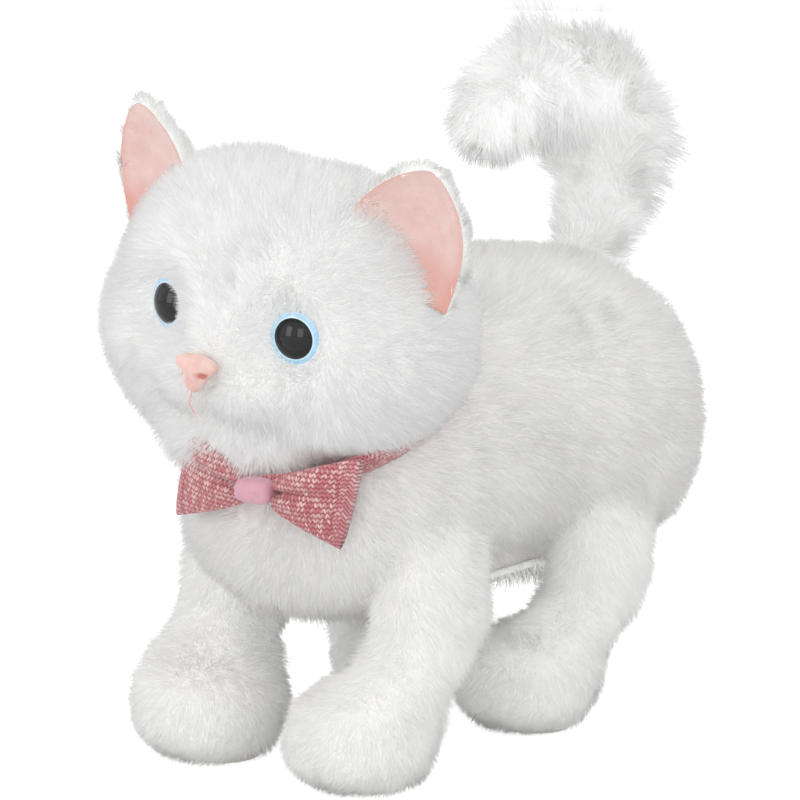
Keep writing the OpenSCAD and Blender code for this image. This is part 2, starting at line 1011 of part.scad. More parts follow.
module ear_sheet(s, grow, front, back) {
  nu = 10;
  nv = 9;
  top = [for (j = [0 : nv], i = [0 : nu]) ear_point(s, (2 * i / nu - 1) * grow, -0.22 + (1.2 + 0.02 * grow) * j / nv * grow, front)];
  low = [for (j = [0 : nv], i = [0 : nu]) ear_point(s, (2 * i / nu - 1) * grow, -0.22 + (1.2 + 0.02 * grow) * j / nv * grow, back)];
  n = (nu + 1) * (nv + 1);
  function at(i, j) = j * (nu + 1) + i;
  rim = concat(
    [for (i = [0 : nu]) at(i, 0)],
    [for (j = [1 : nv]) at(nu, j)],
    [for (i = [nu - 1 : -1 : 0]) at(i, nv)],
    [for (j = [nv - 1 : -1 : 1]) at(0, j)]
  );
  faces = concat(
    [for (j = [0 : nv - 1], i = [0 : nu - 1]) [at(i, j), at(i, j + 1), at(i + 1, j)]],
    [for (j = [0 : nv - 1], i = [0 : nu - 1]) [at(i + 1, j), at(i, j + 1), at(i + 1, j + 1)]],
    [for (j = [0 : nv - 1], i = [0 : nu - 1]) [n + at(i, j), n + at(i + 1, j), n + at(i, j + 1)]],
    [for (j = [0 : nv - 1], i = [0 : nu - 1]) [n + at(i + 1, j), n + at(i + 1, j + 1), n + at(i, j + 1)]],
    [for (k = [0 : len(rim) - 1]) [rim[k], rim[(k + 1) % len(rim)], n + rim[k]]],
    [for (k = [0 : len(rim) - 1]) [rim[(k + 1) % len(rim)], n + rim[(k + 1) % len(rim)], n + rim[k]]]
  );
  flipped = [for (f = faces) [f[0], f[2], f[1]]];
  head_pose()
    polyhedron(points = concat(top, low), faces = s > 0 ? faces : flipped);
}

module ear_left_back() {
  placed([0.95, 0.95, 0.94])
    ear_sheet(1, 1, 0, ear_back_t);
}

module ear_left_lining() {
  placed([0.95, 0.78, 0.78])
    ear_sheet(1, 0.93, -ear_lining_t - 0.6, -0.6);
}

module ear_right_back() {
  placed([0.95, 0.95, 0.94])
    ear_sheet(-1, 1, 0, ear_back_t);
}

module ear_right_lining() {
  placed([0.95, 0.78, 0.78])
    ear_sheet(-1, 0.93, -ear_lining_t - 0.6, -0.6);
}

// ---------- collar and bow ----------

module collar_band() {
  placed([0.8, 0.5, 0.52])
    neck_strip(dish_r + 0.2, dish_r + 2.2, band_w / 2);
}

module bow_pose() {
  translate([12, -106.2, 94])
    rotate([0, 1.5, 5])
      children();
}

// a loop of the bow reaching out to one side
module bow_loop(s) {
  placed([0.85, 0.55, 0.57])
    bow_pose()
      loft([
        for (k = [0 : 8])
          let (
            t = k / 8,
            x = 5.2 + (bow_reach - 5.2) * t,
            h = 4 + (bow_half_h - 4) * pow(t, 0.8),
            d = 2.2 + 2.6 * sin(180 * min(1, t * 0.9))
          )
            [[s * x, 8 * t * t, -0.5 * t], [0, s * d, 0], [0, 0, h], [0, 0, -h]]
      ], 20, 2.6);
}

module bow_left() {
  bow_loop(1);
}

module bow_right() {
  bow_loop(-1);
}

module bow_knot() {
  placed([0.88, 0.62, 0.7])
    bow_pose()
      loft([
        for (k = [0 : 6])
          let (t = k / 3 - 1, q = sqrt(1 - 0.8 * t * t))
            [[5 * t, -1.2, 0], [0, 4.2 * q, 0], [0, 0, 5.2 * (0.85 + 0.15 * q)], [0, 0, -5.2 * (0.85 + 0.15 * q)]]
      ], 20, 2.8);
}

// ---------- tail ----------

tail_path = [[82, 140], [89, 156], [95, 171], [98, 186], [93, 199], [80, 206.5], [62, 208], [45, 204], [31, 197], [24, 191]];
tail_size = [0.55, 0.7, 0.86, 0.98, 1, 0.97, 0.9, 0.78, 0.55, 0.25];

function tail_dir(k) =
  let (a = tail_path[max(0, k - 1)], b = tail_path[min(len(tail_path) - 1, k + 1)])
    (b - a) / norm(b - a);

function tail_station(k, r, inner = 1) =
  let (d = tail_dir(k))
    [[0, tail_path[k][0], tail_path[k][1]], [-r, 0, 0], [0, -d[1] * r, d[0] * r] * inner, [0, d[1] * r, -d[0] * r]];

module tail_plush() {
  placed([0.95, 0.95, 0.94])
    difference() {
      union() {
        translate(tail_c)
          sphere(r = tail_root_r, $fn = 32);
        loft([for (k = [0 : len(tail_path) - 1]) tail_station(k, plume_r * tail_size[k], 0.62)], 20, 2);
      }
      translate([0, 60, tail_c[2]])
        rotate([-90, 0, 0])
          cylinder(r = 6.3, h = 17.2);
      tail_rod(1.85, 1.02);
    }
}

// the bendable core, with radius r
module tail_rod(r, more) {
  loft([
    for (k = [0 : 6])
      let (s = tail_station(k, r), grow = k == 0 || k == 6 ? 1 : more)
        [s[0], s[1] * grow, s[2] * grow, s[3] * grow]
  ], 12, 2);
}

module tail_core() {
  placed([0.4, 0.4, 0.42])
    difference() {
      union() {
        translate([0, 70, tail_c[2]])
          rotate([-90, 0, 0])
            cylinder(r = 6, h = 7);
        tail_rod(1.5, 1);
      }
      translate([0, 60, tail_c[2]])
        rotate([-90, 0, 0])
          cylinder(r = 2 + run_gap, h = 14.5);
    }
}

module tail_bracket() {
  placed([0.3, 0.3, 0.32])
    union() {
      translate([-5, 60, 112.4])
        cube([10, 5.5, 3]);
      translate([-5, 60.5, 112.4])
        cube([10, 5, 33.6]);
      translate([0, 65, tail_c[2]])
        rotate([-90, 0, 0])
          cylinder(r = 2, h = 9);
    }
}

torso_plush();
housing_left();
housing_right();
housing_screws();
battery_left();
battery_middle();
battery_right();
battery_contacts();
battery_tray();
battery_cover();
cover_screw();
switch_body();
switch_knob();
control_board();
speaker();
motor_cradle();
motor_can();
motor_pinion();
idler_pin();
idler_gear();
crank_gear();
crank_axle();
crank_discs();
front_left_frame();
front_left_leg();
front_left_sole();
front_right_frame();
front_right_leg();
front_right_sole();
rear_left_frame();
rear_left_leg();
rear_left_sole();
rear_right_frame();
rear_right_leg();
rear_right_sole();
front_hip_pins();
rear_hip_pins();
left_link();
right_link();
neck_post();
neck_yoke();
head_frame();
head_plush();
eye_left();
eye_right();
eye_washers();
nose();
nose_washer();
mouth_thread();
ear_left_back();
ear_left_lining();
ear_right_back();
ear_right_lining();
collar_band();
bow_left();
bow_right();
bow_knot();
tail_plush();
tail_core();
tail_bracket();
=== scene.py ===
import bpy
import numpy as np
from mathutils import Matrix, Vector


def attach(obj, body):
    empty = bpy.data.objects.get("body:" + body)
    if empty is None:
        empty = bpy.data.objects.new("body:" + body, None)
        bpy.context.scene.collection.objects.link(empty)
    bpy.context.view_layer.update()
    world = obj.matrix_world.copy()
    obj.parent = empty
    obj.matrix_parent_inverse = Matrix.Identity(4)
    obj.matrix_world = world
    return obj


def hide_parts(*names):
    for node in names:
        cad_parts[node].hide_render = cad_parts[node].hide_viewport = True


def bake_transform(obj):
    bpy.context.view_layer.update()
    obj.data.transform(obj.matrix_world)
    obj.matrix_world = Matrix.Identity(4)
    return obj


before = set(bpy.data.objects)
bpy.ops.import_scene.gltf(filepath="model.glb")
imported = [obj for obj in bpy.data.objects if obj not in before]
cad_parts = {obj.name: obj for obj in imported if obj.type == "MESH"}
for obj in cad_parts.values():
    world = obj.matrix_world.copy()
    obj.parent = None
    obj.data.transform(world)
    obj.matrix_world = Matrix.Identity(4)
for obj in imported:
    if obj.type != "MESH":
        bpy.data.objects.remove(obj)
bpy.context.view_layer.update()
MM = 0.001
rng = np.random.default_rng(20)


# ---------------------------------------------------------------- finishes

class Field:
    """A value that changes over a surface: one socket, with the usual arithmetic."""

    def __init__(self, finish, socket):
        self.finish, self.socket = finish, socket

    def __add__(self, other): return self.finish.number("ADD", self, other)
    def __radd__(self, other): return self.finish.number("ADD", other, self)
    def __sub__(self, other): return self.finish.number("SUBTRACT", self, other)
    def __rsub__(self, other): return self.finish.number("SUBTRACT", other, self)
    def __mul__(self, other): return self.finish.number("MULTIPLY", self, other)
    def __rmul__(self, other): return self.finish.number("MULTIPLY", other, self)
    def __truediv__(self, other): return self.finish.number("DIVIDE", self, other)
    def __abs__(self): return self.finish.number("ABSOLUTE", self)
    def fract(self): return self.finish.number("FRACT", self)
    def floor(self): return self.finish.number("FLOOR", self)
    def above(self, level): return self.finish.number("GREATER_THAN", self, level)

    def span(self, low, high, a=0.0, b=1.0):
        """The value carried from low..high to a..b, held at both ends."""
        return self.finish.node("ShaderNodeMapRange", {}, {0: self, 1: low, 2: high, 3: a, 4: b})


class Finish:
    """One material, built around a Principled shader."""

    def __init__(self, name, **constants):
        self.material = bpy.data.materials.new(name)
        self.material.use_nodes = True
        self.nodes = self.material.node_tree.nodes
        self.links = self.material.node_tree.links
        self.nodes.clear()
        self.shader = self.nodes.new("ShaderNodeBsdfPrincipled")
        end = self.nodes.new("ShaderNodeOutputMaterial")
        self.links.new(self.shader.outputs[0], end.inputs[0])
        for key, value in constants.items():
            self.shader.inputs[key.replace("_", " ")].default_value = value

    def node(self, kind, settings, inputs, out=0):
        """A node of any kind: its settings first, then the values or links of its sockets."""
        made = self.nodes.new(kind)
        for key, value in settings.items():
            setattr(made, key, value)
        for key, value in inputs.items():
            if isinstance(value, Field):
                self.links.new(value.socket, made.inputs[key])
            else:
                made.inputs[key].default_value = value
        return Field(self, made.outputs[out])

    def number(self, operation, *values):
        return self.node("ShaderNodeMath", {"operation": operation}, dict(enumerate(values)))

    def place(self):
        return self.node("ShaderNodeTexCoord", {}, {}, "Object")

    def parts(self, vector):
        split = self.node("ShaderNodeSeparateXYZ", {}, {0: vector})
        outs = split.socket.node.outputs
        return [Field(self, outs[i]) for i in range(3)]

    def noise(self, scale, detail=3.0, rough=0.55, where=None):
        return self.node("ShaderNodeTexNoise", {}, {
            "Vector": where or self.place(), "Scale": scale, "Detail": detail, "Roughness": rough})

    def mix(self, amount, a, b):
        return self.node("ShaderNodeMix", {"data_type": "RGBA"}, {0: amount, 6: a, 7: b}, 2)

    def feed(self, name, field):
        self.links.new(field.socket, self.shader.inputs[name])

    def bump(self, height, distance, strength=1.0):
        self.feed("Normal", self.node("ShaderNodeBump", {}, {
            "Height": height, "Distance": distance, "Strength": strength}))


def shade(r, g, b):
    """A display colour from 0 to 255 as linear light with full alpha."""
    c = np.array([r, g, b]) / 255.0
    c = np.where(c <= 0.04045, c / 12.92, ((c + 0.055) / 1.055) ** 2.4)
    return (*c.tolist(), 1.0)


def plastic_finish(name, colour, rough, grain=0.00004):
    """Moulded plastic: a fine grain, and slightly uneven gloss and colour."""
    f = Finish(name, Roughness=rough)
    cloud, fine = f.noise(60, 4), f.noise(2600, 2)
    dark = tuple(0.82 * c for c in colour[:3]) + (1.0,)
    f.feed("Base Color", f.mix(cloud.span(0.3, 0.7), dark, colour))
    f.feed("Roughness", cloud.span(0.3, 0.7, rough - 0.06, rough + 0.08))
    f.bump(fine, grain)
    return f.material


def metal_finish(name, colour, rough):
    """Drawn metal: fine streaks along X, with uneven gloss."""
    f = Finish(name, Roughness=rough, Metallic=1.0)
    drawn = f.node("ShaderNodeMapping", {}, {"Vector": f.place(), "Scale": (0.08, 1, 1)})
    streak = f.noise(900, 3, 0.5, drawn)
    dark = tuple(0.7 * c for c in colour[:3]) + (1.0,)
    f.feed("Base Color", f.mix(streak.span(0.3, 0.7), dark, colour))
    f.feed("Roughness", streak.span(0.3, 0.7, rough - 0.08, rough + 0.12))
    return f.material


def backing_finish(name, light, dark):
    """Backing cloth between the roots of the pile: matt, with short fibres as fine relief."""
    f = Finish(name, Roughness=0.95, Specular_IOR_Level=0.1, Sheen_Weight=0.3, Sheen_Roughness=0.6)
    tuft, fibre = f.noise(230, 4, 0.6), f.noise(1700, 3, 0.7)
    f.feed("Base Color", f.mix(tuft.span(0.35, 0.65), dark, light))
    f.bump(tuft * 0.6 + fibre * 0.4, 0.0009)
    return f.material


def hair_finish(name, colour):
    """One colour of hair, softly glossy."""
    f = Finish(name, Roughness=0.7, Specular_IOR_Level=0.25)
    f.shader.inputs["Base Color"].default_value = colour
    return f.material


def knit_finish(name, size, deep, rose, pale):
    """Heathered knit on the piece's own map, in millimetres: rows of V stitches, pale flecks, and painted
    shade in the gaps.
    """
    f = Finish(name, Roughness=0.85, Specular_IOR_Level=0.2, Sheen_Weight=0.35, Sheen_Roughness=0.5)
    uv = f.node("ShaderNodeUVMap", {"uv_map": "cloth"}, {})
    x, y, _ = f.parts(uv)
    wander = f.noise(0.35, 2, 0.5, uv)
    a = x / size + wander * 0.6
    b = y / (size * 1.15)
    side = abs(a.fract() - 0.5)
    along = (b + side * 0.85).fract()
    thread = 1.0 - abs(along * 2.0 - 1.0)
    gap = side.span(0.0, 0.14)
    stitch = thread.span(0.05, 0.7) * (gap * 0.55 + 0.45) * side.span(0.5, 0.38, 0.45, 1.0)
    cell = f.node("ShaderNodeCombineXYZ", {}, {0: (a * 2.0).floor(), 1: (b + side * 0.85).floor()})
    fleck = f.node("ShaderNodeTexWhiteNoise", {"noise_dimensions": "2D"}, {"Vector": cell})
    heather = fleck.span(0.45, 0.95)
    colour = f.mix(heather, rose, pale)
    # Painted shade: the deep colour fills the gaps between stitches and the edges of each thread.
    f.feed("Base Color", f.mix(stitch.span(0.0, 0.55), deep, colour))
    f.bump(stitch, 0.0005)
    return f.material


def velour_finish(name, pink, painted_shade_colour, pale):
    """Short velour: soft mottling; painted shade, a warmer tone, where the fold attribute is high."""
    f = Finish(name, Roughness=0.9, Specular_IOR_Level=0.15, Sheen_Weight=0.6, Sheen_Roughness=0.45)
    fold = f.node("ShaderNodeAttribute", {"attribute_name": "fold"}, {}, "Fac")
    cloud, pile = f.noise(160, 4, 0.6), f.noise(2200, 2, 0.6)
    base = f.mix(cloud.span(0.35, 0.7), pink, pale)
    f.feed("Base Color", f.mix(fold, base, painted_shade_colour))
    f.bump(pile * 0.7 + cloud * 0.5, 0.0004)
    return f.material


def satin_finish(name, light, dark):
    """Satin ribbon: fine crosswise ribs and long soft streaks."""
    f = Finish(name, Roughness=0.42, Specular_IOR_Level=0.45, Sheen_Weight=0.25)
    rib = f.node("ShaderNodeTexWave", {"wave_type": "BANDS", "bands_direction": "X"}, {
        "Vector": f.place(), "Scale": 900.0, "Distortion": 1.0})
    streak = f.noise(240, 3)
    f.feed("Base Color", f.mix(streak.span(0.3, 0.7), dark, light))
    f.feed("Roughness", streak.span(0.3, 0.7, 0.36, 0.5))
    f.bump(rib * 0.3 + streak * 0.7, 0.00015)
    return f.material


def vinyl_finish(name, light, dark, deep):
    """Soft moulded vinyl with faint mottling, a satin gloss and painted shade, a deeper tone, in its hollows.
    """
    f = Finish(name, Roughness=0.42, Specular_IOR_Level=0.4, Subsurface_Weight=0.25, Subsurface_Scale=0.002)
    f.shader.inputs["Subsurface Radius"].default_value = (1.0, 0.4, 0.3)
    cloud, grain = f.noise(260, 3), f.noise(1800, 3)
    hollow = f.node("ShaderNodeAttribute", {"attribute_name": "fold"}, {}, "Fac")
    f.feed("Base Color", f.mix(hollow, f.mix(cloud.span(0.35, 0.65), dark, light), deep))
    f.feed("Roughness", cloud.span(0.3, 0.7, 0.36, 0.5))
    f.bump(grain, 0.00008)
    return f.material


def iris_finish(name, light, deep, pale):
    """Tinted ring of a domed eye: faint mottling under a glossy coat, and a pale inner edge."""
    f = Finish(name, Roughness=0.28, Coat_Weight=0.6, Coat_Roughness=0.05)
    cloud = f.noise(420, 3)
    inner = f.node("ShaderNodeAttribute", {"attribute_name": "fold"}, {}, "Fac")
    f.feed("Base Color", f.mix(inner, f.mix(cloud.span(0.35, 0.65), deep, light), pale))
    f.feed("Roughness", cloud.span(0.3, 0.7, 0.24, 0.34))
    return f.material


def gloss_finish(name, dark, darker):
    """Polished dark dome."""
    f = Finish(name, Roughness=0.05, Specular_IOR_Level=0.5)
    cloud = f.noise(300, 2)
    f.feed("Base Color", f.mix(cloud.span(0.3, 0.7), darker, dark))
    f.feed("Roughness", cloud.span(0.3, 0.7, 0.03, 0.07))
    return f.material


fur_backing = backing_finish("fur_backing", shade(240, 240, 238), shade(222, 221, 218))
hair_tones = [hair_finish("hair_white", shade(247, 247, 245)), hair_finish("hair_cool", shade(238, 239, 240)),
              hair_finish("hair_warm", shade(240, 237, 232))]
# The first colour given to each knit is painted shade for its stitch gaps.
knit_pink = knit_finish("knit_pink", 1.25, shade(150, 62, 72), shade(208, 122, 130), shade(245, 205, 200))
hem_pink = knit_finish("hem_pink", 1.0, shade(168, 80, 90), shade(214, 132, 140), shade(240, 190, 190))
# The velour's second colour is painted shade.
velour_pink = velour_finish("velour_pink", shade(219, 183, 178), shade(214, 158, 146), shade(226, 198, 192))
satin_pink = satin_finish("satin_pink", shade(208, 158, 173), shade(198, 144, 160))
# The nose's third colour is painted shade for its nostrils.
nose_vinyl = vinyl_finish("nose_vinyl", shade(224, 193, 186), shade(218, 178, 169), shade(196, 126, 112))
thread_pink = velour_finish("thread_pink", shade(226, 160, 160), shade(226, 160, 160), shade(236, 178, 176))
thread_faint = velour_finish("thread_faint", shade(236, 200, 196), shade(236, 200, 196), shade(240, 214, 210))
iris_blue = iris_finish("iris_blue", shade(178, 214, 236), shade(150, 196, 226), shade(205, 228, 240))
pupil_black = gloss_finish("pupil_black", shade(14, 13, 14), shade(6, 6, 7))
sole_felt = backing_finish("sole_felt", shade(232, 226, 220), shade(208, 200, 194))

housing_white = plastic_finish("housing_white", shade(222, 221, 216), 0.45)
frame_grey = plastic_finish("frame_grey", shade(70, 71, 76), 0.5)
part_black = plastic_finish("part_black", shade(30, 30, 32), 0.42)
gear_white = plastic_finish("gear_white", shade(232, 230, 220), 0.38)
cell_green = plastic_finish("cell_green", shade(40, 110, 70), 0.25, 0.00001)
board_green = plastic_finish("board_green", shade(30, 96, 56), 0.35, 0.00002)
washer_white = plastic_finish("washer_white", shade(228, 228, 224), 0.4)
steel = metal_finish("steel", (0.62, 0.62, 0.64, 1.0), 0.3)
brass = metal_finish("brass", (0.72, 0.5, 0.22, 1.0), 0.28)
KEPT = {
    housing_white: ["housing_left", "housing_right", "battery_cover"],
    frame_grey: ["battery_tray", "motor_cradle", "front_left_frame", "front_right_frame", "rear_left_frame",
                 "rear_right_frame", "left_link", "right_link", "neck_post", "neck_yoke", "head_frame",
                 "tail_bracket", "tail_core"],
    part_black: ["switch_body", "switch_knob", "speaker"],
    gear_white: ["idler_gear", "crank_gear", "crank_discs"],
    cell_green: ["battery_left", "battery_middle", "battery_right"],
    board_green: ["control_board"],
    washer_white: ["eye_washers", "nose_washer"],
    steel: ["housing_screws", "cover_screw", "battery_contacts", "idler_pin", "crank_axle", "front_hip_pins",
            "rear_hip_pins", "motor_can"],
    brass: ["motor_pinion"],
}
for material, names in KEPT.items():
    for name in names:
        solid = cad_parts[name]
        if not solid.material_slots:
            solid.data.materials.append(material)
        for held in solid.material_slots:
            held.material = material


# ---------------------------------------------------------------- shapes, in millimetres

def unit(v):
    return v / np.maximum(np.linalg.norm(v, axis=-1, keepdims=True), 1e-9)


def eased(x, low, high):
    """Smooth step from 0 below low to 1 above high."""
    t = np.clip((x - low) / (high - low), 0, 1)
    return t * t * (3 - 2 * t)


def through(rows, t):
    """Catmull-Rom curve through the rows of a table, at values t from 0 to 1."""
    rows = np.asarray(rows, float)
    k = np.clip(t, 0, 1) * (len(rows) - 1)
    i = np.minimum(k.astype(int), len(rows) - 2)
    f = (k - i)[:, None]
    p0, p1 = rows[np.maximum(i - 1, 0)], rows[i]
    p2, p3 = rows[i + 1], rows[np.minimum(i + 2, len(rows) - 1)]
    return 0.5 * (2 * p1 + (p2 - p0) * f + (2 * p0 - 5 * p1 + 4 * p2 - p3) * f**2
                  + (3 * p1 - p0 - 3 * p2 + p3) * f**3)


def lofted(rows, nv, nu, power):
    """Closed sections along a path. A row holds centre, side, up and down half vectors; the section is
    centre + side * sgn(cos)|cos|^(2/p) + up or down * |sin|^(2/p)."""
    s = through(rows, np.linspace(0, 1, nv))
    a = np.linspace(0, 2 * np.pi, nu, endpoint=False)
    c, d = np.cos(a), np.sin(a)
    c = (np.sign(c) * np.abs(c) ** (2 / power))[None, :, None]
    up = (np.clip(d, 0, None) ** (2 / power))[None, :, None]
    down = (np.clip(-d, 0, None) ** (2 / power))[None, :, None]
    return s[:, None, 0:3] + s[:, None, 3:6] * c + s[:, None, 6:9] * up + s[:, None, 9:12] * down


def blended(forms, origin, nv, nu, sharp=9.0, reach=110.0):
    """Surface seen from an inner point, where the sum of exp(k(1 - |(p - c) / r|)) over the forms is 1.
    A form is (centre, radii, weight), and a negative weight hollows the surface."""
    pol = np.linspace(0, np.pi, nv)[:, None]
    azi = np.linspace(0, 2 * np.pi, nu, endpoint=False)[None, :]
    ray = np.stack([np.sin(pol) * np.cos(azi), np.sin(pol) * np.sin(azi), np.cos(pol) + 0 * azi], -1)
    low, high = np.zeros((nv, nu)), np.full((nv, nu), reach)
    origin = np.array(origin, float)
    for _ in range(18):
        mid = (low + high) / 2
        p = origin + ray * mid[..., None]
        total = 0
        for centre, radii, weight in forms:
            q = np.linalg.norm((p - np.array(centre, float)) / np.array(radii, float), axis=-1)
            total = total + weight * np.exp(sharp * (1 - q))
        inside = total > 1
        low, high = np.where(inside, mid, low), np.where(inside, high, mid)
    return origin + ray * ((low + high) / 2)[..., None]


def grid_normals(p):
    """Outward unit normals of a grid whose columns close on themselves."""
    du = np.roll(p, -1, 1) - np.roll(p, 1, 1)
    dv = np.gradient(p, axis=0)
    n = np.cross(dv, du)
    n[0], n[-1] = n[1].mean(0), n[-2].mean(0)
    n = unit(n)
    if np.mean(np.sum(n * (p - p.mean((0, 1))), -1)) < 0:
        n = -n
    return n


def ends_joined(values):
    """One row of values for a closed grid's vertices: its first and last rows are each a single point."""
    middle = values[1:-1].reshape(-1, *values.shape[2:])
    return np.concatenate([values[0].mean(0)[None], middle, values[-1].mean(0)[None]])


def mesh_piece(name, verts, corners, counts, material, body, normals=None, uv=None, marks=None):
    """Puts whole arrays into a mesh: verts in millimetres, corner indices and corners per face."""
    mesh = bpy.data.meshes.new(name)
    verts = np.asarray(verts) + SET_DOWN
    corners, counts = np.asarray(corners).ravel(), np.asarray(counts).ravel()
    mesh.vertices.add(len(verts))
    mesh.vertices.foreach_set("co", (verts * MM).astype(np.float32).ravel())
    mesh.loops.add(len(corners))
    mesh.loops.foreach_set("vertex_index", corners.astype(np.int32))
    mesh.polygons.add(len(counts))
    mesh.polygons.foreach_set("loop_start", (np.cumsum(counts) - counts).astype(np.int32))
    mesh.update(calc_edges=True)
    mesh.polygons.foreach_set("use_smooth", np.full(len(counts), True))
    if uv is not None:
        layer = mesh.uv_layers.new(name="cloth")
        layer.data.foreach_set("uv", uv[corners].astype(np.float32).ravel())
    if marks is not None:
        held = mesh.attributes.new("fold", "FLOAT", "POINT")
        held.data.foreach_set("value", marks.astype(np.float32).ravel())
    if normals is not None:
        mesh.normals_split_custom_set_from_vertices(normals.astype(np.float32).tolist())
    mesh.materials.append(material)
    made = bpy.data.objects.new(name, mesh)
    bpy.context.scene.collection.objects.link(made)
    if body:
        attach(made, body)
    return made


def closed_grid(p):
    """Vertices, corners and counts of a grid closed around its columns, with a single point at each end."""
    nv, nu = p.shape[:2]
    verts = ends_joined(p)
    i, j = np.meshgrid(np.arange(nv - 3), np.arange(nu), indexing="ij")
    k = (j + 1) % nu
    row, after = 1 + i * nu, 1 + (i + 1) * nu
    quads = np.stack([row + j, row + k, after + k, after + j], -1).reshape(-1, 4)
    j, last = np.arange(nu), len(verts) - 1
    k, base = (j + 1) % nu, 1 + (nv - 3) * nu
    start = np.stack([np.zeros(nu, int), 1 + k, 1 + j], -1)
    end = np.stack([np.full(nu, last), base + j, base + k], -1)
    centre = verts.mean(0)
    tri = verts[quads[:, :3]]
    outward = np.sum(np.cross(tri[:, 1] - tri[:, 0], tri[:, 2] - tri[:, 0]) * (tri.mean(1) - centre))
    if outward < 0:
        quads, start, end = quads[:, ::-1], start[:, ::-1], end[:, ::-1]
    corners = np.concatenate([quads.ravel(), start.ravel(), end.ravel()])
    counts = np.concatenate([np.full(len(quads), 4), np.full(2 * nu, 3)])
    return verts, corners, counts


def skin(name, p, material, body, **more):
    verts, corners, counts = closed_grid(p)
    return mesh_piece(name, verts, corners, counts, material, body, **more)


# ---------------------------------------------------------------- pile

def drift(p, size, seed):
    """Smooth random vectors over space: sums of sines about size millimetres long."""
    r = np.random.default_rng(int(seed * 10))
    wave = r.normal(size=(3, 5, 3)) * (2 * np.pi / size / 1.7)
    phase = r.uniform(0, 2 * np.pi, (3, 5))
    return np.stack([np.sin(p @ wave[k].T + phase[k]).sum(-1) for k in range(3)], -1) / 2.2


def tufts(p, size, seed):
    """One random vector for all points in the same small wandering cell."""
    q = np.floor((p + 0.5 * size * drift(p, size * 2.2, seed)) / size)
    h = q @ np.array([12.9898, 78.233, 37.719]) + seed
    return np.stack([np.modf(np.sin(h + 1.7 * k) * 43758.5453)[0] for k in range(3)], -1)


def scatter(p, n, count, weight=None, raw=False):
    """Random points on a closed grid, evenly by area times weight, with their normals, or any held values."""
    a, b = p[:-1], p[1:]
    a2, b2 = np.roll(a, -1, 1), np.roll(b, -1, 1)
    area = np.linalg.norm(np.cross(a2 - a, b - a), axis=-1)
    if weight is not None:
        area = area * weight((a + b2) / 2)
    flat = area.ravel()
    pick = rng.choice(len(flat), count, p=flat / flat.sum())
    i, j = np.unravel_index(pick, area.shape)
    k = (j + 1) % p.shape[1]
    s, t = rng.random((2, count, 1))

    def at(g):
        return (g[i, j] * (1 - s) + g[i, k] * s) * (1 - t) + (g[i + 1, j] * (1 - s) + g[i + 1, k] * s) * t
    return at(p), (at(n) if raw else unit(at(n)))


def spikes(root, normal, way, length, width):
    """Straight tapered hairs: three base points around the root and one tip."""
    side = unit(np.cross(way, normal + 0.01))
    other = np.cross(way, side)
    ring = [root + width[:, None] * (np.cos(a) * side + np.sin(a) * other) for a in (0.3, 2.4, 4.5)]
    verts = np.stack(ring + [root + way * length[:, None]], 1)
    face = np.array([[0, 1, 3], [1, 2, 3], [2, 0, 3]])
    puff = np.stack([unit(r - root) for r in ring] + [way], 1)
    return verts, face, puff


def curls(root, normal, way, bend, length, width):
    """Bent tapered hairs: a ring at the root, a ring half way, and a tip that turns by bend."""
    bend = bend - way * np.minimum(np.sum(bend * way, -1, keepdims=True), 0)
    side = unit(np.cross(way, normal + 0.01))
    other = np.cross(way, side)
    mid = root + way * (0.5 * length)[:, None]
    tip = mid + unit(way + bend) * (0.55 * length)[:, None]
    spokes = [np.cos(a) * side + np.sin(a) * other for a in (0.3, 2.4, 4.5)]
    low = [root + width[:, None] * s for s in spokes]
    high = [mid + 0.75 * width[:, None] * s for s in spokes]
    verts = np.stack(low + high + [tip], 1)
    face = np.array([[0, 1, 4], [0, 4, 3], [1, 2, 5], [1, 5, 4], [2, 0, 3], [2, 3, 5],
                     [3, 4, 6], [4, 5, 6], [5, 3, 6]])
    puff = np.stack(spokes * 2 + [way], 1)
    return verts, face, puff


def pile(name, body, root, normal, way, length, width, bend=None, most=64000, join=None, hold=0.6):
    """Hairs in a few pieces, each of one tone and at most so many hairs. Their shading normals lean to the
    skin's by hold. They cast no shadow, so light reaches the skin and the coat stays soft and pale."""
    length, width = np.broadcast_to(length, len(root)).copy(), np.broadcast_to(width, len(root)).copy()
    tones = np.array_split(np.arange(len(root)), max(1, int(np.ceil(len(root) / most))))
    for k, part in enumerate(tones):
        args = (root[part], normal[part], way[part])
        if bend is None:
            verts, face, puff = spikes(*args, length[part], width[part])
        else:
            verts, face, puff = curls(*args, bend[part], length[part], width[part])
        per = verts.shape[1]
        corners = (face[None] + per * np.arange(len(part))[:, None, None]).reshape(-1)
        stray = 0.1 * rng.normal(size=(len(part), 1, 3))
        lean = unit(hold * normal[part][:, None, :] + (1 - hold) * puff + stray)
        verts, lean = verts.reshape(-1, 3), lean.reshape(-1, 3)
        piece = mesh_piece(f"{name}_{k + 1}", verts, corners, np.full(len(corners) // 3, 3),
                           hair_tones[k % 3], None if join else body, normals=lean)
        piece.visible_shadow = piece.visible_diffuse = False
        if join:
            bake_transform(piece)


# ---------------------------------------------------------------- where things sit, in millimetres

SET_DOWN = np.array([-3.7, 0.46, 0.0])
NECK = np.array([0.0, -75.0, 142.0])
HEAD = np.array([-0.5, -74.8, 142.6])
SIDES = {"left": 1, "right": -1}


def turn(x, y, z):
    """Rotation about X, then Y, then Z, in degrees, as a matrix."""
    a, b, c = np.radians([x, y, z])
    rx = np.array([[1, 0, 0], [0, np.cos(a), -np.sin(a)], [0, np.sin(a), np.cos(a)]])
    ry = np.array([[np.cos(b), 0, np.sin(b)], [0, 1, 0], [-np.sin(b), 0, np.cos(b)]])
    rz = np.array([[np.cos(c), -np.sin(c), 0], [np.sin(c), np.cos(c), 0], [0, 0, 1]])
    return rz @ ry @ rx


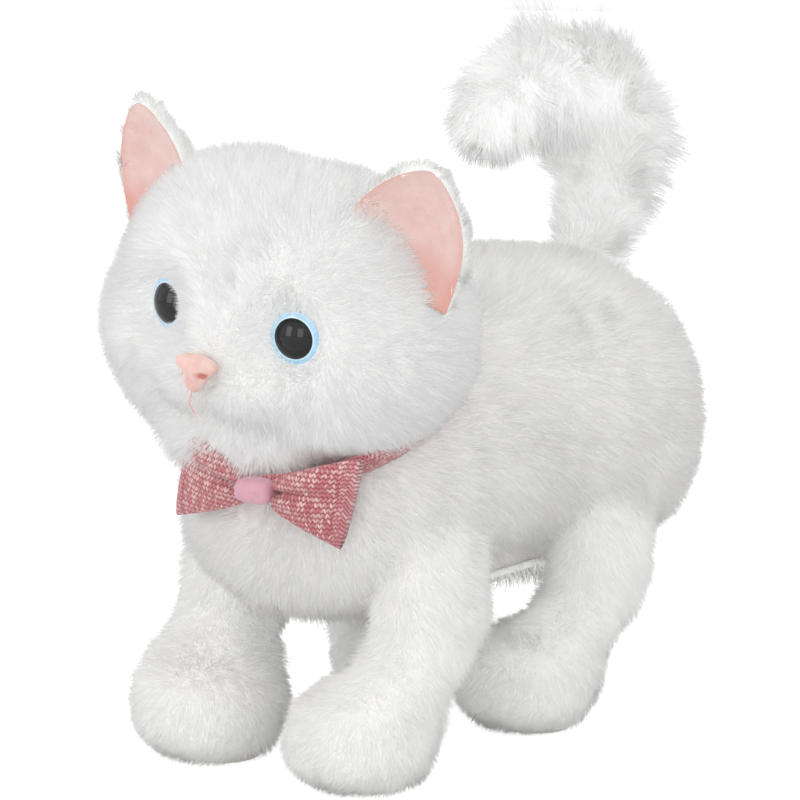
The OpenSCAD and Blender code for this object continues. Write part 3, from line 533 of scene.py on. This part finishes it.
HEAD_TURN = turn(0, 0, 0.6) @ turn(3.9, 0, 0) @ turn(0, 8.2, 0)
COLLAR_TURN = turn(23.4, 0, 0)


def on_head(p):
    return HEAD + np.asarray(p, float) @ HEAD_TURN.T


def off_head(p):
    return (p - HEAD) @ HEAD_TURN


def spot(x, y, z):
    """A place given in millimetres, moved with the model and turned into metres."""
    return tuple(((np.array([x, y, z]) + SET_DOWN) * MM).tolist())


def padded(piece, fill, slot, *nodes):
    if nodes:
        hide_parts(*nodes)
    return piece


def comb(normal, flow, lift, lay, wild):
    """Hair directions: flow laid on the skin, raised by lift along the normal, and ruffled by wild."""
    flat = unit(flow - normal * np.sum(flow * normal, -1, keepdims=True))
    return unit(normal * np.reshape(lift, (-1, 1)) + flat * lay + wild)


# ---------------------------------------------------------------- torso

def torso_rows(shrink):
    """Sections along Y: height of the middle, half width, rise and drop, each less the shrink."""
    table = np.array([
        [-98.5, 86, 9, 9, 9], [-94, 86, 24, 23, 22], [-85, 86, 37, 37, 33], [-70, 87, 45, 44, 38],
        [-52, 89, 48.5, 48, 40], [-30, 93, 48, 51, 41], [-8, 98, 48.5, 52, 44], [14, 100, 51, 53, 45],
        [34, 100, 55.5, 54, 48], [52, 98, 58, 54.5, 50], [70, 97, 56, 52, 50], [84, 95, 49, 46, 44],
        [95, 93, 36, 35, 34], [101, 92, 19, 20, 20], [102.5, 92, 8, 8, 8]])
    y, zc, hw, up, down = table.T
    y = y * (1 - shrink / 100)
    hw, up, down = [np.maximum(v - shrink, 3) for v in (hw, up, down)]
    o = 0 * y
    return np.stack([o, y, zc, hw, o, o, o, o, up, o, o, -down], -1)


def torso_grid(shrink):
    """The torso's loft, hollowed to a ball around the neck and to a flat well over the battery cover."""
    p = lofted(torso_rows(shrink), 150, 220, 2.15)
    away = p - NECK
    far = np.linalg.norm(away, axis=-1, keepdims=True)
    p = NECK + away / far * np.maximum(far, 52.4)
    inside = (np.abs(p[..., 0]) < 26.5) & (np.abs(p[..., 1] + 5) < 46.5) & (p[..., 2] < 60)
    p[..., 2] = np.where(inside, 56.0, p[..., 2])
    return p


torso = torso_grid(3.5)
torso_normals = grid_normals(torso)
padded(skin("torso_skin", torso, fur_backing, "body"), 0.95, "fur_white", "torso_plush")


def torso_cover(q):
    """Hair density over the torso: none under the collar, in the neck's hollow or over the battery cover."""
    down = -((q - NECK) @ COLLAR_TURN)[..., 2] / np.linalg.norm(q - NECK, axis=-1)
    free = (np.linalg.norm(q - NECK, axis=-1) > 53.0) | ((down < 0.72) & (down > 0.4))
    well = (np.abs(q[..., 0]) < 28) & (np.abs(q[..., 1] + 5) < 48) & (q[..., 2] < 60)
    return (free & ~well) * (1.0 - 0.2 * (q[..., 2] < 62))


root, normal = scatter(torso, torso_normals, 150000, torso_cover)
flow = np.stack([0.12 * np.sign(root[:, 0]), 0.75 - 0.9 * eased(root[:, 1], 70, 100),
                 -0.25 - 0.9 * eased(np.abs(root[:, 0]), 15, 45) - 1.2 * eased(root[:, 1], 80, 100)], -1)
flow[:, 1] -= 0.9 * eased(-root[:, 1], 60, 95)
clump = 0.22 * tufts(root, 2.6, 3.1) + 0.16 * drift(root, 24, 5)
way = comb(normal, flow, 0.74, 0.52, clump + 0.18 * rng.normal(size=root.shape))
length = (6.8 + 1.8 * rng.random(len(root))) * (1 + 0.12 * drift(root, 14, 8)[:, 0])
length *= 1 - 0.5 * eased(np.linalg.norm(root - NECK, axis=-1), 60, 53)
length *= 1 + 1.2 * eased(root[:, 2], 68, 56) * eased(np.abs(root[:, 1] + 5), 62, 50)
pile("torso_fur", "body", root, normal, way, length, 0.17)


# ---------------------------------------------------------------- legs

def leg_rows(hip, foot, shrink, right):
    """Sections up a leg: height, place along Y, half length and the two sides, each less the shrink. Above
    the paw the inner side goes out by 1 instead, so that it covers the frame inside."""
    hy, hz = hip
    base, fx, lx, s = 1.6, 29.5, 34.0, shrink
    mid = hy + (foot - hy) * 0.22
    table = np.array([
        [base + 0.4, foot + 4, 9, fx - 10, fx + 10], [base + 1.2, foot + 3, 15, fx - 14.5, fx + 15],
        [base + 4, foot + 1.5, 20, fx - 17.5, fx + 18], [base + 10, foot - 1, 25, fx - 20, fx + 21.5],
        [base + 18, foot, 26.5, fx - 20, fx + 22.5], [base + 26, foot + 2, 25.5, fx - 16, fx + 22.5],
        [base + 33, (foot + mid) / 2 + 1, 23, lx - 10, lx + 18.5], [44, mid, 22, lx - 7.5, lx + 18.5],
        [56, mid + (hy - mid) * 0.6, 22, lx - 7.5, lx + 18], [hz, hy, 22, lx - 7.5, lx + 15.5],
        [hz + 10, hy, 19, lx - 6, lx + 13.5], [hz + 18, hy, 12, lx - 4, lx + 11]])
    z, y, half, xa, xb = table.T
    half, xa, xb, o = half - s, xa - 1.0 + (s + 1.0) * (z < 34), xb - s, 0 * z
    side = -1.0 if right else 1.0
    return np.stack([side * (xa + xb) / 2, y, z, o, half, o, (xb - xa) / 2, o, o, -(xb - xa) / 2, o, o], -1)


LEGS = {"front_left": ((-53, 72), -79), "front_right": ((-53, 72), -79),
        "rear_left": ((43, 75), 10), "rear_right": ((43, 75), 21)}
for leg, (hip, foot) in LEGS.items():
    right = leg.endswith("right")
    grid = lofted(leg_rows(hip, foot, 2.6, right), 110, 120, 2.3)
    lean = grid_normals(grid)
    join = ("body", leg, spot(0, hip[0], 84), spot(0, hip[0], 58))
    piece = skin(f"{leg}_skin", grid, fur_backing, None)
    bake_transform(piece)
    padded(piece, 0.95, "fur_white", f"{leg}_leg")
    root, normal = scatter(grid, lean, 30000, lambda q: (q[..., 2] < 82) * (q[..., 2] > 2.6))
    low = eased(root[:, 2], 34, 8)
    flow = np.stack([0 * low, -0.55 * low, -1.0 + 0.35 * low], -1)
    clump = 0.2 * tufts(root, 2.4, 1.7) + 0.14 * drift(root, 20, 11)
    way = comb(normal, flow, 0.6 + 0.15 * low, 0.65, clump + 0.16 * rng.normal(size=root.shape))
    length = (5.6 + 1.6 * rng.random(len(root))) * (1 - 0.28 * low)
    length *= 1 + 0.12 * drift(root, 12, 4)[:, 0]
    length *= 1 - 0.45 * (np.abs(root[:, 0]) < 30) * (root[:, 2] > 36)
    to_floor = (root[:, 2] - 0.3) / np.maximum(-way[:, 2], 1e-3)
    length = np.minimum(length, np.where(way[:, 2] < 0, to_floor, 99))
    pile(f"{leg}_fur", leg, root, normal, way, length, 0.15, join=join)


def sole_disc(x, y):
    """Felt disc: radius swept over a rounded edge, with a shallow stitched groove near the rim."""
    r = np.concatenate([np.linspace(0, 11.2, 30), [11.7, 11.95, 12.0, 11.95, 11.7], np.linspace(11.2, 0, 12)])
    z = np.concatenate([np.zeros(30), [0.12, 0.4, 0.8, 1.2, 1.5], np.full(12, 1.6)])
    z[:30] += 0.35 * np.exp(-((r[:30] - 9.9) / 0.35) ** 2)
    a = np.linspace(0, 2 * np.pi, 96, endpoint=False)
    stitch = 0.25 * np.exp(-((r[:, None] - 9.9) / 0.5) ** 2) * (np.sin(a * 36) > 0.4)
    z = z[:, None] + stitch * (z[:, None] < 0.5)
    return np.stack([x + r[:, None] * np.cos(a), y + r[:, None] * np.sin(a), z + 0 * a], -1)


for leg, (x, y) in {"front_left": (29.5, -75), "front_right": (-29.5, -75),
                    "rear_left": (29.5, 14), "rear_right": (-29.5, 25)}.items():
    piece = skin(f"{leg}_sole_felt", sole_disc(x, y), sole_felt, leg)
    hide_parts(f"{leg}_sole")


# ---------------------------------------------------------------- head

HEAD_FORMS = [
    ((0, 2, 2), (58, 42, 43.5), 1), ((-28, -3, -9), (31, 32, 29), 1), ((28, -3, -9), (31, 32, 29), 1),
    ((-18, -6, 21), (27, 29, 26), 1), ((18, -6, 21), (27, 29, 26), 1),
    ((-9.5, -31, -15.5), (13, 11.5, 10.5), 1), ((9.5, -31, -15.5), (13, 11.5, 10.5), 1),
    ((0, -24, -27), (14, 13, 10), 1), ((0, -17, -33), (28, 20, 13), 1), ((0, -30, -6), (11, 11, 11), 1)]
HOLLOWS = [((0, -45.5, 24), (6, 12, 16), -1)]
for s in (1, -1):
    HOLLOWS += [((s * 24.3, -44.5, 4.5), (15.5, 14, 15.5), -1), ((s * 31.5, -42.5, -12), (3.5, 8, 7), -1),
                ((s * 32, -40.5, -21), (3.5, 8, 7), -1)]
EYE_AT = {s: np.array([s * 24.2, -29.4, 3.7]) for s in (1, -1)}
NOSE_AT = np.array([-0.8, -42.6, -9.2])


def to_eyes(p):
    """Distance to the nearer eye."""
    return np.minimum(*[np.linalg.norm(p - EYE_AT[s], axis=-1) for s in (1, -1)])


outer = blended(HEAD_FORMS + HOLLOWS, (0, -4, -2), 150, 200)
lean = grid_normals(outer)
inner = outer - 3.2 * lean
inner = inner - lean * (1.6 * eased(to_eyes(inner), 12, 6))[..., None]
head = on_head(inner)
head_normals = lean @ HEAD_TURN.T
padded(skin("head_skin", head, fur_backing, "head"), 0.95, "fur_white", "head_plush", "mouth_thread")


def head_cover(q):
    """Hair density over the head: none at the eyes, the nose or near the neck, and more over the face."""
    p = off_head(q)
    gap = 1.0 + 0 * p[..., 0]
    for s in (1, -1):
        gap = gap * eased(np.linalg.norm(p - EYE_AT[s] - [s * 0.8, 2, 0], axis=-1), 8.0, 9.0)
    gap = gap * eased(np.linalg.norm((p - NOSE_AT - [0, 2, 0]) / [8.2, 9, 6.4], axis=-1), 0.85, 1.0)
    low = np.linalg.norm(q - NECK, axis=-1) < 30
    face = eased(-p[..., 1], 8, 26)
    return gap * (~low) * (1 + 0.7 * face)


root, normal = scatter(head, head_normals, 110000, head_cover)
place = off_head(root)
from_nose = place - (NOSE_AT + [0, 6, 5])
flow = unit(from_nose) @ HEAD_TURN.T
flow = flow + np.array([0, 0.1, -0.45]) * eased(np.abs(place[:, :1]), 12, 40) + [0, 0.15, 0]
muzzle = eased(np.linalg.norm((place - [0, -34, -15]) / [1.15, 1, 1], axis=-1), 24, 12)
close = eased(to_eyes(place), 17, 8)
clump = 0.2 * tufts(root, 2.5, 7.7) + 0.14 * drift(root, 22, 15)
clump *= (1 - 0.45 * np.maximum(muzzle, close))[:, None]
way = comb(normal, flow, 0.74, 0.5, clump + 0.18 * rng.normal(size=root.shape))
length = 6.6 + 1.8 * rng.random(len(root))
length *= (1 - 0.42 * muzzle) * (1 - 0.42 * close)
length *= 1 + 0.22 * eased(place[:, 2], -12, -30) * (1 - muzzle)
collar_way = (root - NECK) @ COLLAR_TURN
under = np.degrees(np.arccos(np.clip(-unit(collar_way)[:, 2], -1, 1)))
length *= 1 - 0.6 * eased(under, 74, 60) * eased(root[:, 0], 12, 28)
length *= 1 + 0.25 * eased(place[:, 2], -30, -38) * eased(-place[:, 1], 2, 14)
pile("head_fur", "head", root, normal, way, length, 0.16)


# ---------------------------------------------------------------- eyes, nose and mouth

RING_R, RING_DOME_DEEP = 8.0, 14.0
PUPIL_R, PUPIL_DOME_R, PUPIL_DOME_DEEP = 6.2, 9.0, 5.6
EYE_OUT = 12
EYE_FACETS = 96


def lathe_at(r, z, where, out):
    """Profile radius r against height z, swept around an axis turned outward by out degrees from the front."""
    a = np.linspace(0, 2 * np.pi, EYE_FACETS, endpoint=False)
    p = np.stack([r[:, None] * np.cos(a), r[:, None] * np.sin(a), z[:, None] + 0 * a], -1)
    return on_head(where + p @ (turn(0, 0, out) @ turn(90, 0, 0)).T)


for side, s in SIDES.items():
    ring_dome = np.hypot(RING_R, RING_DOME_DEEP)
    r = np.concatenate([np.linspace(0, 7.7, 6), [7.95], np.linspace(RING_R, 5.5, 22), np.linspace(5.4, 0, 6)])
    z = np.sqrt(np.maximum(ring_dome**2 - r**2, 0)) - RING_DOME_DEEP
    z[:6], z[6] = -1.2, -0.9
    z[-6:] = z[-7] - 0.3
    ring = lathe_at(r, z, EYE_AT[s], s * EYE_OUT)
    pale = ends_joined(eased(r, 6.8, 6.4)[:, None] * 0.9 + np.zeros(EYE_FACETS))
    piece = skin(f"eye_{side}_ring", ring, iris_blue, "head", marks=pale)
    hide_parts(f"eye_{side}")
    r = np.concatenate([np.linspace(0, 6.0, 6), PUPIL_R * np.cos(np.linspace(0, np.pi / 2, 40))])
    z = np.sqrt(PUPIL_DOME_R**2 - r**2) - PUPIL_DOME_DEEP
    z[:6] = z[6] - 0.6
    pupil = lathe_at(r, z, EYE_AT[s], s * EYE_OUT)
    skin(f"eye_{side}_pupil", pupil, pupil_black, "head")

NOSE_FORMS = [((0, -0.6, 1.9), (7.4, 3.3, 2.6), 1), ((0, -1.6, 0.2), (5.4, 3.2, 3.2), 1),
              ((0, -1.2, -2.8), (3.4, 3.0, 3.9), 1), ((-4.3, -3.9, -0.7), (1.5, 1.9, 0.8), -3),
              ((4.3, -3.9, -0.7), (1.5, 1.9, 0.8), -3), ((-3.5, -4.6, -1.5), (0.8, 1.6, 0.9), -2),
              ((3.5, -4.6, -1.5), (0.8, 1.6, 0.9), -2), ((0, -5.6, -3.6), (0.5, 1.8, 2.8), -0.8)]
nose_local = blended(NOSE_FORMS, (0, 0, 0.4), 130, 180, 4.0, 14.0)
nostrils = [np.linalg.norm((nose_local - [s * 4.1, -3.2, -0.9]) / [1.9, 2.6, 1.2], axis=-1)
            for s in (1, -1)]
# Painted shade: the nostril hollows get the vinyl's deeper tone through the fold attribute.
deep = np.maximum(*[eased(far, 1.0, 0.6) for far in nostrils])
piece = skin("nose_pad", on_head(NOSE_AT + nose_local), nose_vinyl, "head", marks=ends_joined(deep))
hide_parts("nose")


def tube(path, radius, around=10, steps=60):
    """Round thread along a smooth curve, thinning to nothing at its two ends."""
    c = through(path, np.linspace(0, 1, steps))
    along = unit(np.gradient(c, axis=0))
    side = unit(np.cross(along, [0.3, 1.0, 0.2]))
    other = np.cross(along, side)
    t = np.linspace(0, 1, steps)
    r = radius * np.clip(np.minimum(t, 1 - t) * 14, 0.15, 1) ** 0.5 * (1 + 0.12 * np.sin(t * 90))
    a = np.linspace(0, 2 * np.pi, around, endpoint=False)
    spokes = side[:, None] * np.cos(a)[:, None] + other[:, None] * np.sin(a)[:, None]
    return c[:, None] + r[:, None, None] * spokes


MOUTH = {"mouth_drop": [(-0.8, -44.6, -14.6), (-1.0, -45.0, -17), (-1.4, -44.8, -19.5), (-0.8, -43.6, -22),
                        (-0.5, -41.5, -24)],
         "mouth_right": [(-0.6, -43.0, -22.6), (2.2, -42.6, -24.6), (5.0, -41.4, -26.2)]}
for name, path in MOUTH.items():
    faint = name == "mouth_right"
    thread = tube(path, 0.15 if faint else 0.24)
    skin(name, on_head(thread), thread_faint if faint else thread_pink, "head")


# ---------------------------------------------------------------- ears

EAR_ROWS, EAR_COLUMNS = 70, 72


def ear_grid(s, front, back, grow, v0, v1):
    """Cupped ear: across u and up v the sheet bows back by 7(1 - u^2)w; front and back are its two faces."""
    v = np.linspace(v0, v1, EAR_ROWS)[:, None]
    w = (1 - np.clip(v, 0, 1) ** 2.4) ** 0.75 + grow / 18
    a = np.linspace(0, 2 * np.pi, EAR_COLUMNS, endpoint=False)[None]
    u = np.cos(a)
    edge = np.abs(np.sin(a)) ** 0.6
    off = np.where(np.sin(a) > 0, front, back) * edge
    base, side = np.array([s * 44.6, -11, 25.5]), np.array([s * 17.5, 5.5, -5])
    tip, face = np.array([s * 55.7, -12.1, 57.5]), np.array([s * 0.28, -0.93, -0.2])
    cup = 7 * (1 - u**2) * w + off * np.clip(w * 3, 0.1, 1)
    return base + (tip - base) * (v + 0 * a)[..., None] + side * (u * w)[..., None] - face * cup[..., None]


for side, s in SIDES.items():
    angle = np.linspace(0, 2 * np.pi, EAR_COLUMNS, endpoint=False)
    # Painted shade on the ear lining: darker and warmer at the base of the ear cup and along its side edges.
    low = eased(np.linspace(-0.2, 0.985, EAR_ROWS), 0.34, 0.02)[:, None]
    warm = np.clip(low * 0.75 + 0.5 * eased(np.abs(np.cos(angle)), 0.8, 1.0), 0, 1)
    lining = ear_grid(s, -0.8, 0.9, 0.2, -0.2, 0.99)
    padded(skin(f"ear_{side}_velour", on_head(lining), velour_pink, "head", marks=ends_joined(warm)),
           0.3, "ear_pink", f"ear_{side}_lining")
    back = ear_grid(s, 0.5, 2.4, -0.1, -0.22, 0.985)
    shell = on_head(back)
    lean = grid_normals(shell)
    padded(skin(f"ear_{side}_skin", shell, fur_backing, "head"), 0.4, "fur_white", f"ear_{side}_back")
    hind = (np.sin(angle) < -0.02) * (1 + 1.0 * (np.sin(angle) > -0.5)) + np.zeros((EAR_ROWS - 1, 1))
    root, normal = scatter(shell, lean, 15000, lambda q: hind)
    up = (np.array([s * 11, -1, 32]) / 34) @ HEAD_TURN.T
    clump = 0.35 * tufts(root, 3.0, 2.2) + 0.2 * drift(root, 16, 6)
    clump = clump + 0.14 * rng.normal(size=root.shape)
    way = comb(normal, up + np.array([s * 0.1, 0.5, -0.2]), 0.5, 0.5, clump)
    length = 3.9 + 1.5 * rng.random(len(root))
    pile(f"ear_{side}_fur", "head", root, normal, way, length, 0.14, hold=0.3)


# ---------------------------------------------------------------- tail

TAIL_PATH = np.array([[82, 140], [89, 156], [95, 171], [98, 186], [93, 199], [80, 206.5], [62, 208],
                      [45, 204], [31, 197], [24, 191]], float)
TAIL_SIZE = np.array([0.55, 0.7, 0.86, 0.98, 1, 0.97, 0.9, 0.78, 0.55, 0.25])


def tail_rows(scale, floor):
    """Sections across the curled path: half width, outer and inner side, from the size at each point."""
    d = unit(np.gradient(TAIL_PATH, axis=0))
    r = np.maximum(23 * TAIL_SIZE * scale, floor)
    o = 0 * r
    return np.stack([o, TAIL_PATH[:, 0], TAIL_PATH[:, 1], r, o, o, o, d[:, 1] * r, -d[:, 0] * r,
                     o, -d[:, 1] * r * 0.62, d[:, 0] * r * 0.62], -1)


tail = lofted(tail_rows(0.46, 3.0), 120, 60, 2.0)
tail_lean = grid_normals(tail)
padded(skin("tail_skin", tail, fur_backing, "tail"), 0.9, "fur_white", "tail_plush")
ahead = np.repeat(unit(np.gradient(tail.mean(1), axis=0))[:, None], 60, 1)
sizes = np.interp(np.linspace(0, 1, 120), np.linspace(0, 1, len(TAIL_SIZE)), TAIL_SIZE)
sizes = np.repeat(sizes[:, None, None], 60, 1)


def tail_hairs(count, reach, lift, lay, droop, wild, seed):
    """Hairs over the tail: raised by lift, laid to the tip by lay, and longest where the tail is full."""
    root, held = scatter(tail, np.concatenate([tail_lean, ahead, sizes], -1), count, None, True)
    normal, along, size = unit(held[:, :3]), unit(held[:, 3:6]), held[:, 6]
    clump = wild * tufts(root, 5.5, seed) + 0.35 * drift(root, 24, seed + 1)
    stray = 0.12 * rng.normal(size=root.shape)
    way = unit(normal * lift + along * lay + np.array([0, 0, -droop]) + clump + stray)
    length = reach * (0.35 + 0.75 * size) * (0.75 + 0.5 * rng.random(count))
    return root, normal, way, length


root, normal, way, length = tail_hairs(54000, 10.0, 0.8, 0.75, 0.1, 0.35, 2.5)
pile("tail_fur", "tail", root, normal, way, length, 0.17, hold=0.3)
root, normal, way, length = tail_hairs(42000, 18.0, 0.66, 0.85, 0.1, 0.5, 6.5)
bend = np.array([0, -0.1, -0.75]) + 0.5 * drift(root, 16, 9)
pile("tail_wisps", "tail", root, normal, way, length, 0.15, bend=bend, most=21000, hold=0.25)


# ---------------------------------------------------------------- collar and bow

def strip_around(r0, r1, half):
    """Band on the ball around the neck at polar angle 54 degrees: a flat loop with rippled edges."""
    a = np.linspace(0, 2 * np.pi, 260, endpoint=False)[:, None]
    c = np.linspace(0, 2 * np.pi, 20, endpoint=False)[None]
    pol = np.radians(54 + half * np.sign(np.cos(c)) * np.abs(np.cos(c)) ** 0.6)
    r = (r0 + r1) / 2 + (r1 - r0) / 2 * np.sign(np.sin(c)) * np.abs(np.sin(c)) ** 0.6
    r = r + 0.12 * np.sin(a * 110) * (np.abs(np.cos(c)) > 0.8)
    p = np.stack([r * np.sin(pol) * np.cos(a), r * np.sin(pol) * np.sin(a), -r * np.cos(pol) + 0 * a], -1)
    uv = np.stack([a * 44 + 0 * c, (pol - pol.min()) * 54 + 0 * a], -1)
    return NECK + p @ COLLAR_TURN.T, uv


def ring_piece(name, p, uv, material, body):
    """A grid closed both ways, with its faces outwards."""
    nv, nu = p.shape[:2]
    i, j = np.meshgrid(np.arange(nv), np.arange(nu), indexing="ij")
    k, m = (j + 1) % nu, (i + 1) % nv
    quads = np.stack([i * nu + j, i * nu + k, m * nu + k, m * nu + j], -1).reshape(-1, 4)
    flat, mids = p.reshape(-1, 3), np.repeat(p.mean(1)[:, None], nu, 1).reshape(-1, 3)
    tri = flat[quads]
    facing = np.cross(tri[:, 1] - tri[:, 0], tri[:, 2] - tri[:, 0])
    if np.sum(facing * (tri.mean(1) - mids[quads[:, 0]])) < 0:
        quads = quads[:, ::-1]
    return mesh_piece(name, flat, quads, np.full(len(quads), 4), material, body, uv=uv.reshape(-1, 2))


band, uv = strip_around(53.1, 56.4, 5.2)
piece = ring_piece("collar_knit", band, uv, knit_pink, "body")
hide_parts("collar_band")

BOW_AT = np.array([12, -106.2, 94.0])
BOW_TURN = turn(0, 1.5, 5)


def on_bow(p):
    return BOW_AT + p @ BOW_TURN.T


def bow_loop(s, t0, t1, puff, nv=60, nu=96):
    """A flattened loop reaching sideways: half height 4 + grow t^0.8, thickness swelling in the middle, with
    creases that fan out from the knot and a cut end that leans. The right loop is longer and rises."""
    reach, grow, sweep, lift = (22.3, 9, 8, -0.5) if s > 0 else (24.3, 10.5, 5, 4.5)
    t = np.linspace(t0, t1, nv)[:, None]
    a = np.linspace(0, 2 * np.pi, nu, endpoint=False)[None]
    x = 5.2 + reach * t
    h = 4 + grow * t**0.8
    d = 1.9 + 2.6 * np.sin(np.pi * np.minimum(1, t * 0.92)) + puff
    up = np.sign(np.sin(a)) * np.abs(np.sin(a)) ** (2 / 2.8)
    pinch = 2.4 * np.exp(-((up - 0.15) / 0.16) ** 2) * (1 - t) ** 0.8
    fan = 0.55 * np.sin(up * 9 + 0.8) * (1 - t) ** 1.2 + pinch
    out = np.sign(np.cos(a)) * np.abs(np.cos(a)) ** (2 / 2.2) * (d - fan * (np.cos(a) < 0) * 1.2)
    slant = 3.5 * t**3 * up * -s
    z = up * h + lift * t - 2.2 * t**2 * (up < 0) * np.abs(up)
    p = np.stack([s * (x - slant), out + sweep * t * t + 0 * a, z], -1)
    uv = np.stack([x + 0 * a, up * h + 3 * (out > 0)], -1)
    return p, uv


def bow_piece(name, s, t0, t1, puff, material, fill, *nodes):
    p, uv = bow_loop(s, t0, t1, puff)
    padded(skin(name, on_bow(p), material, "body", uv=ends_joined(uv)), fill, "knit_pink", *nodes)


for side, s in SIDES.items():
    bow_piece(f"bow_{side}_loop", s, 0.0, 0.97, 0.0, knit_pink, 0.7, f"bow_{side}")
    bow_piece(f"bow_{side}_hem", s, 0.905, 1.0, 0.35, hem_pink, 0.6)


def knot_grid():
    """Rounded block with pleats running across it."""
    pol = np.linspace(0, np.pi, 70)[:, None]
    azi = np.linspace(0, 2 * np.pi, 110, endpoint=False)[None]

    def soft(v, k):
        return np.sign(v) * np.abs(v) ** k
    x = soft(np.cos(pol), 0.55) + 0 * azi
    y = soft(np.sin(pol), 0.45) * soft(np.cos(azi), 0.75)
    z = soft(np.sin(pol), 0.45) * soft(np.sin(azi), 0.75)
    pleat = 0.13 * np.sin(z * 9 + 0.6 * x) * (1 - 0.5 * x * x)
    return np.stack([x * 6.0, y * (4.7 + pleat) - 1.4, z * (3.9 - 0.3 * x * x) + 0.6], -1)


padded(skin("bow_knot_satin", on_bow(knot_grid()), satin_pink, "body"), 0.9, "satin_pink", "bow_knot")


def hem_loop():
    """Rolled cloth edge around the battery cover's opening: a rounded rectangle at one height."""
    a = np.linspace(0, 2 * np.pi, 240, endpoint=False)
    c = np.sign(np.cos(a)) * np.abs(np.cos(a)) ** 0.22
    s = np.sign(np.sin(a)) * np.abs(np.sin(a)) ** 0.22
    path = np.stack([26.6 * c, -5 + 46.8 * s, 53.4 + 0.15 * np.sin(a * 80)], -1)
    along = unit(np.roll(path, -1, 0) - np.roll(path, 1, 0))
    side = unit(np.cross(along, [0, 0, 1.0]))
    b = np.linspace(0, 2 * np.pi, 14, endpoint=False)
    spokes = side[:, None] * np.cos(b)[:, None] + np.array([0, 0, 1.0]) * np.sin(b)[:, None]
    return path[:, None] + 1.2 * spokes


hem = hem_loop()
ring_piece("belly_hem", hem, hem[..., :2], fur_backing, "body")
HEM_HAIRS = 7000
step, around = rng.integers(0, len(hem), HEM_HAIRS), rng.integers(0, hem.shape[1], HEM_HAIRS)
between = rng.random((HEM_HAIRS, 1))
root = hem[step, around] * (1 - between) + hem[(step + 1) % len(hem), around] * between
normal = unit(hem[step, around] - hem[step].mean(1))
way = unit(0.3 * normal - [0, 0, 1] + 0.22 * rng.normal(size=root.shape) + 0.3 * tufts(root, 3.0, 4.1))
pile("hem_fur", "body", root, normal, way, 5.0 + 2.5 * rng.random(len(root)), 0.16, hold=0.3)


# ---------------------------------------------------------------- camera, lights and floor

aim = Vector(spot(0, -21, 100))
back = Vector((0.5936, -0.7877, 0.165)).normalized()
lens = bpy.data.cameras.new("camera")
camera = bpy.data.objects.new("camera", lens)
bpy.context.scene.collection.objects.link(camera)
bpy.context.scene.camera = camera
camera.location = aim + back
camera.rotation_euler = (-back).to_track_quat("-Z", "Y").to_euler()
lens.lens, lens.sensor_width = 140.4, 36
lens.shift_x, lens.shift_y = 0.00125, 0.0375
lens.clip_start = 0.05
across = Vector((0.7877, 0.5936, 0)).normalized()


def lamp(name, where, width, height, power):
    """Soft rectangular lamp turned to the kitten."""
    light = bpy.data.lights.new(name, "AREA")
    light.shape, light.size, light.size_y, light.energy = "RECTANGLE", width, height, power
    made = bpy.data.objects.new(name, light)
    made.location = where
    made.rotation_euler = (aim - where).to_track_quat("-Z", "Y").to_euler()
    bpy.context.scene.collection.objects.link(made)


up = Vector((0, 0, 1))
lamp("key_left", aim + back * 0.65 - across * 0.86 + up * 0.16, 0.4, 0.6, 1.3)
lamp("key_right", aim + back * 1.12 - across * 0.2 + up * 0.06, 0.4, 0.6, 1.1)
lamp("top", aim + up * 1.6 - back * 0.2, 1.4, 1.4, 2.6)
lamp("rim", aim - back * 1.1 + across * 0.8 + up * 0.8, 0.8, 0.8, 2.0)

world = bpy.data.worlds.new("studio")
bpy.context.scene.world = world
world.use_nodes = True
tree = world.node_tree
sky = tree.nodes["Background"]
sky.inputs[0].default_value = (1, 1, 1, 1)
rays = tree.nodes.new("ShaderNodeLightPath")
level = tree.nodes.new("ShaderNodeMapRange")
level.inputs[3].default_value, level.inputs[4].default_value = 1.1, 1.0
tree.links.new(rays.outputs["Is Camera Ray"], level.inputs[0])
tree.links.new(level.outputs[0], sky.inputs[1])

floor = bpy.data.meshes.new("floor")
FLOOR_HALF = 6
floor.from_pydata([(x * FLOOR_HALF, y * FLOOR_HALF, 0) for x, y in ((-1, -1), (1, -1), (1, 1), (-1, 1))],
                  [], [(0, 1, 2, 3)])
floor_piece = bpy.data.objects.new("floor", floor)
bpy.context.scene.collection.objects.link(floor_piece)
paper = bpy.data.materials.new("paper")
paper.use_nodes = True
tree = paper.node_tree
tree.nodes.clear()
end = tree.nodes.new("ShaderNodeOutputMaterial")
matt = tree.nodes.new("ShaderNodeBsdfDiffuse")
matt.inputs[0].default_value = (0.8, 0.8, 0.8, 1)
veil = tree.nodes.new("ShaderNodeBsdfDiffuse")
veil.inputs[0].default_value = (0.42, 0.42, 0.42, 1)
glow = tree.nodes.new("ShaderNodeEmission")
glow.inputs[1].default_value = 0.8
both = tree.nodes.new("ShaderNodeAddShader")
pick = tree.nodes.new("ShaderNodeMixShader")
rays = tree.nodes.new("ShaderNodeLightPath")
tree.links.new(veil.outputs[0], both.inputs[0])
tree.links.new(glow.outputs[0], both.inputs[1])
tree.links.new(rays.outputs["Is Camera Ray"], pick.inputs[0])
tree.links.new(matt.outputs[0], pick.inputs[1])
tree.links.new(both.outputs[0], pick.inputs[2])
tree.links.new(pick.outputs[0], end.inputs[0])
floor.materials.append(paper)

bpy.context.scene.view_settings.view_transform = "Standard"
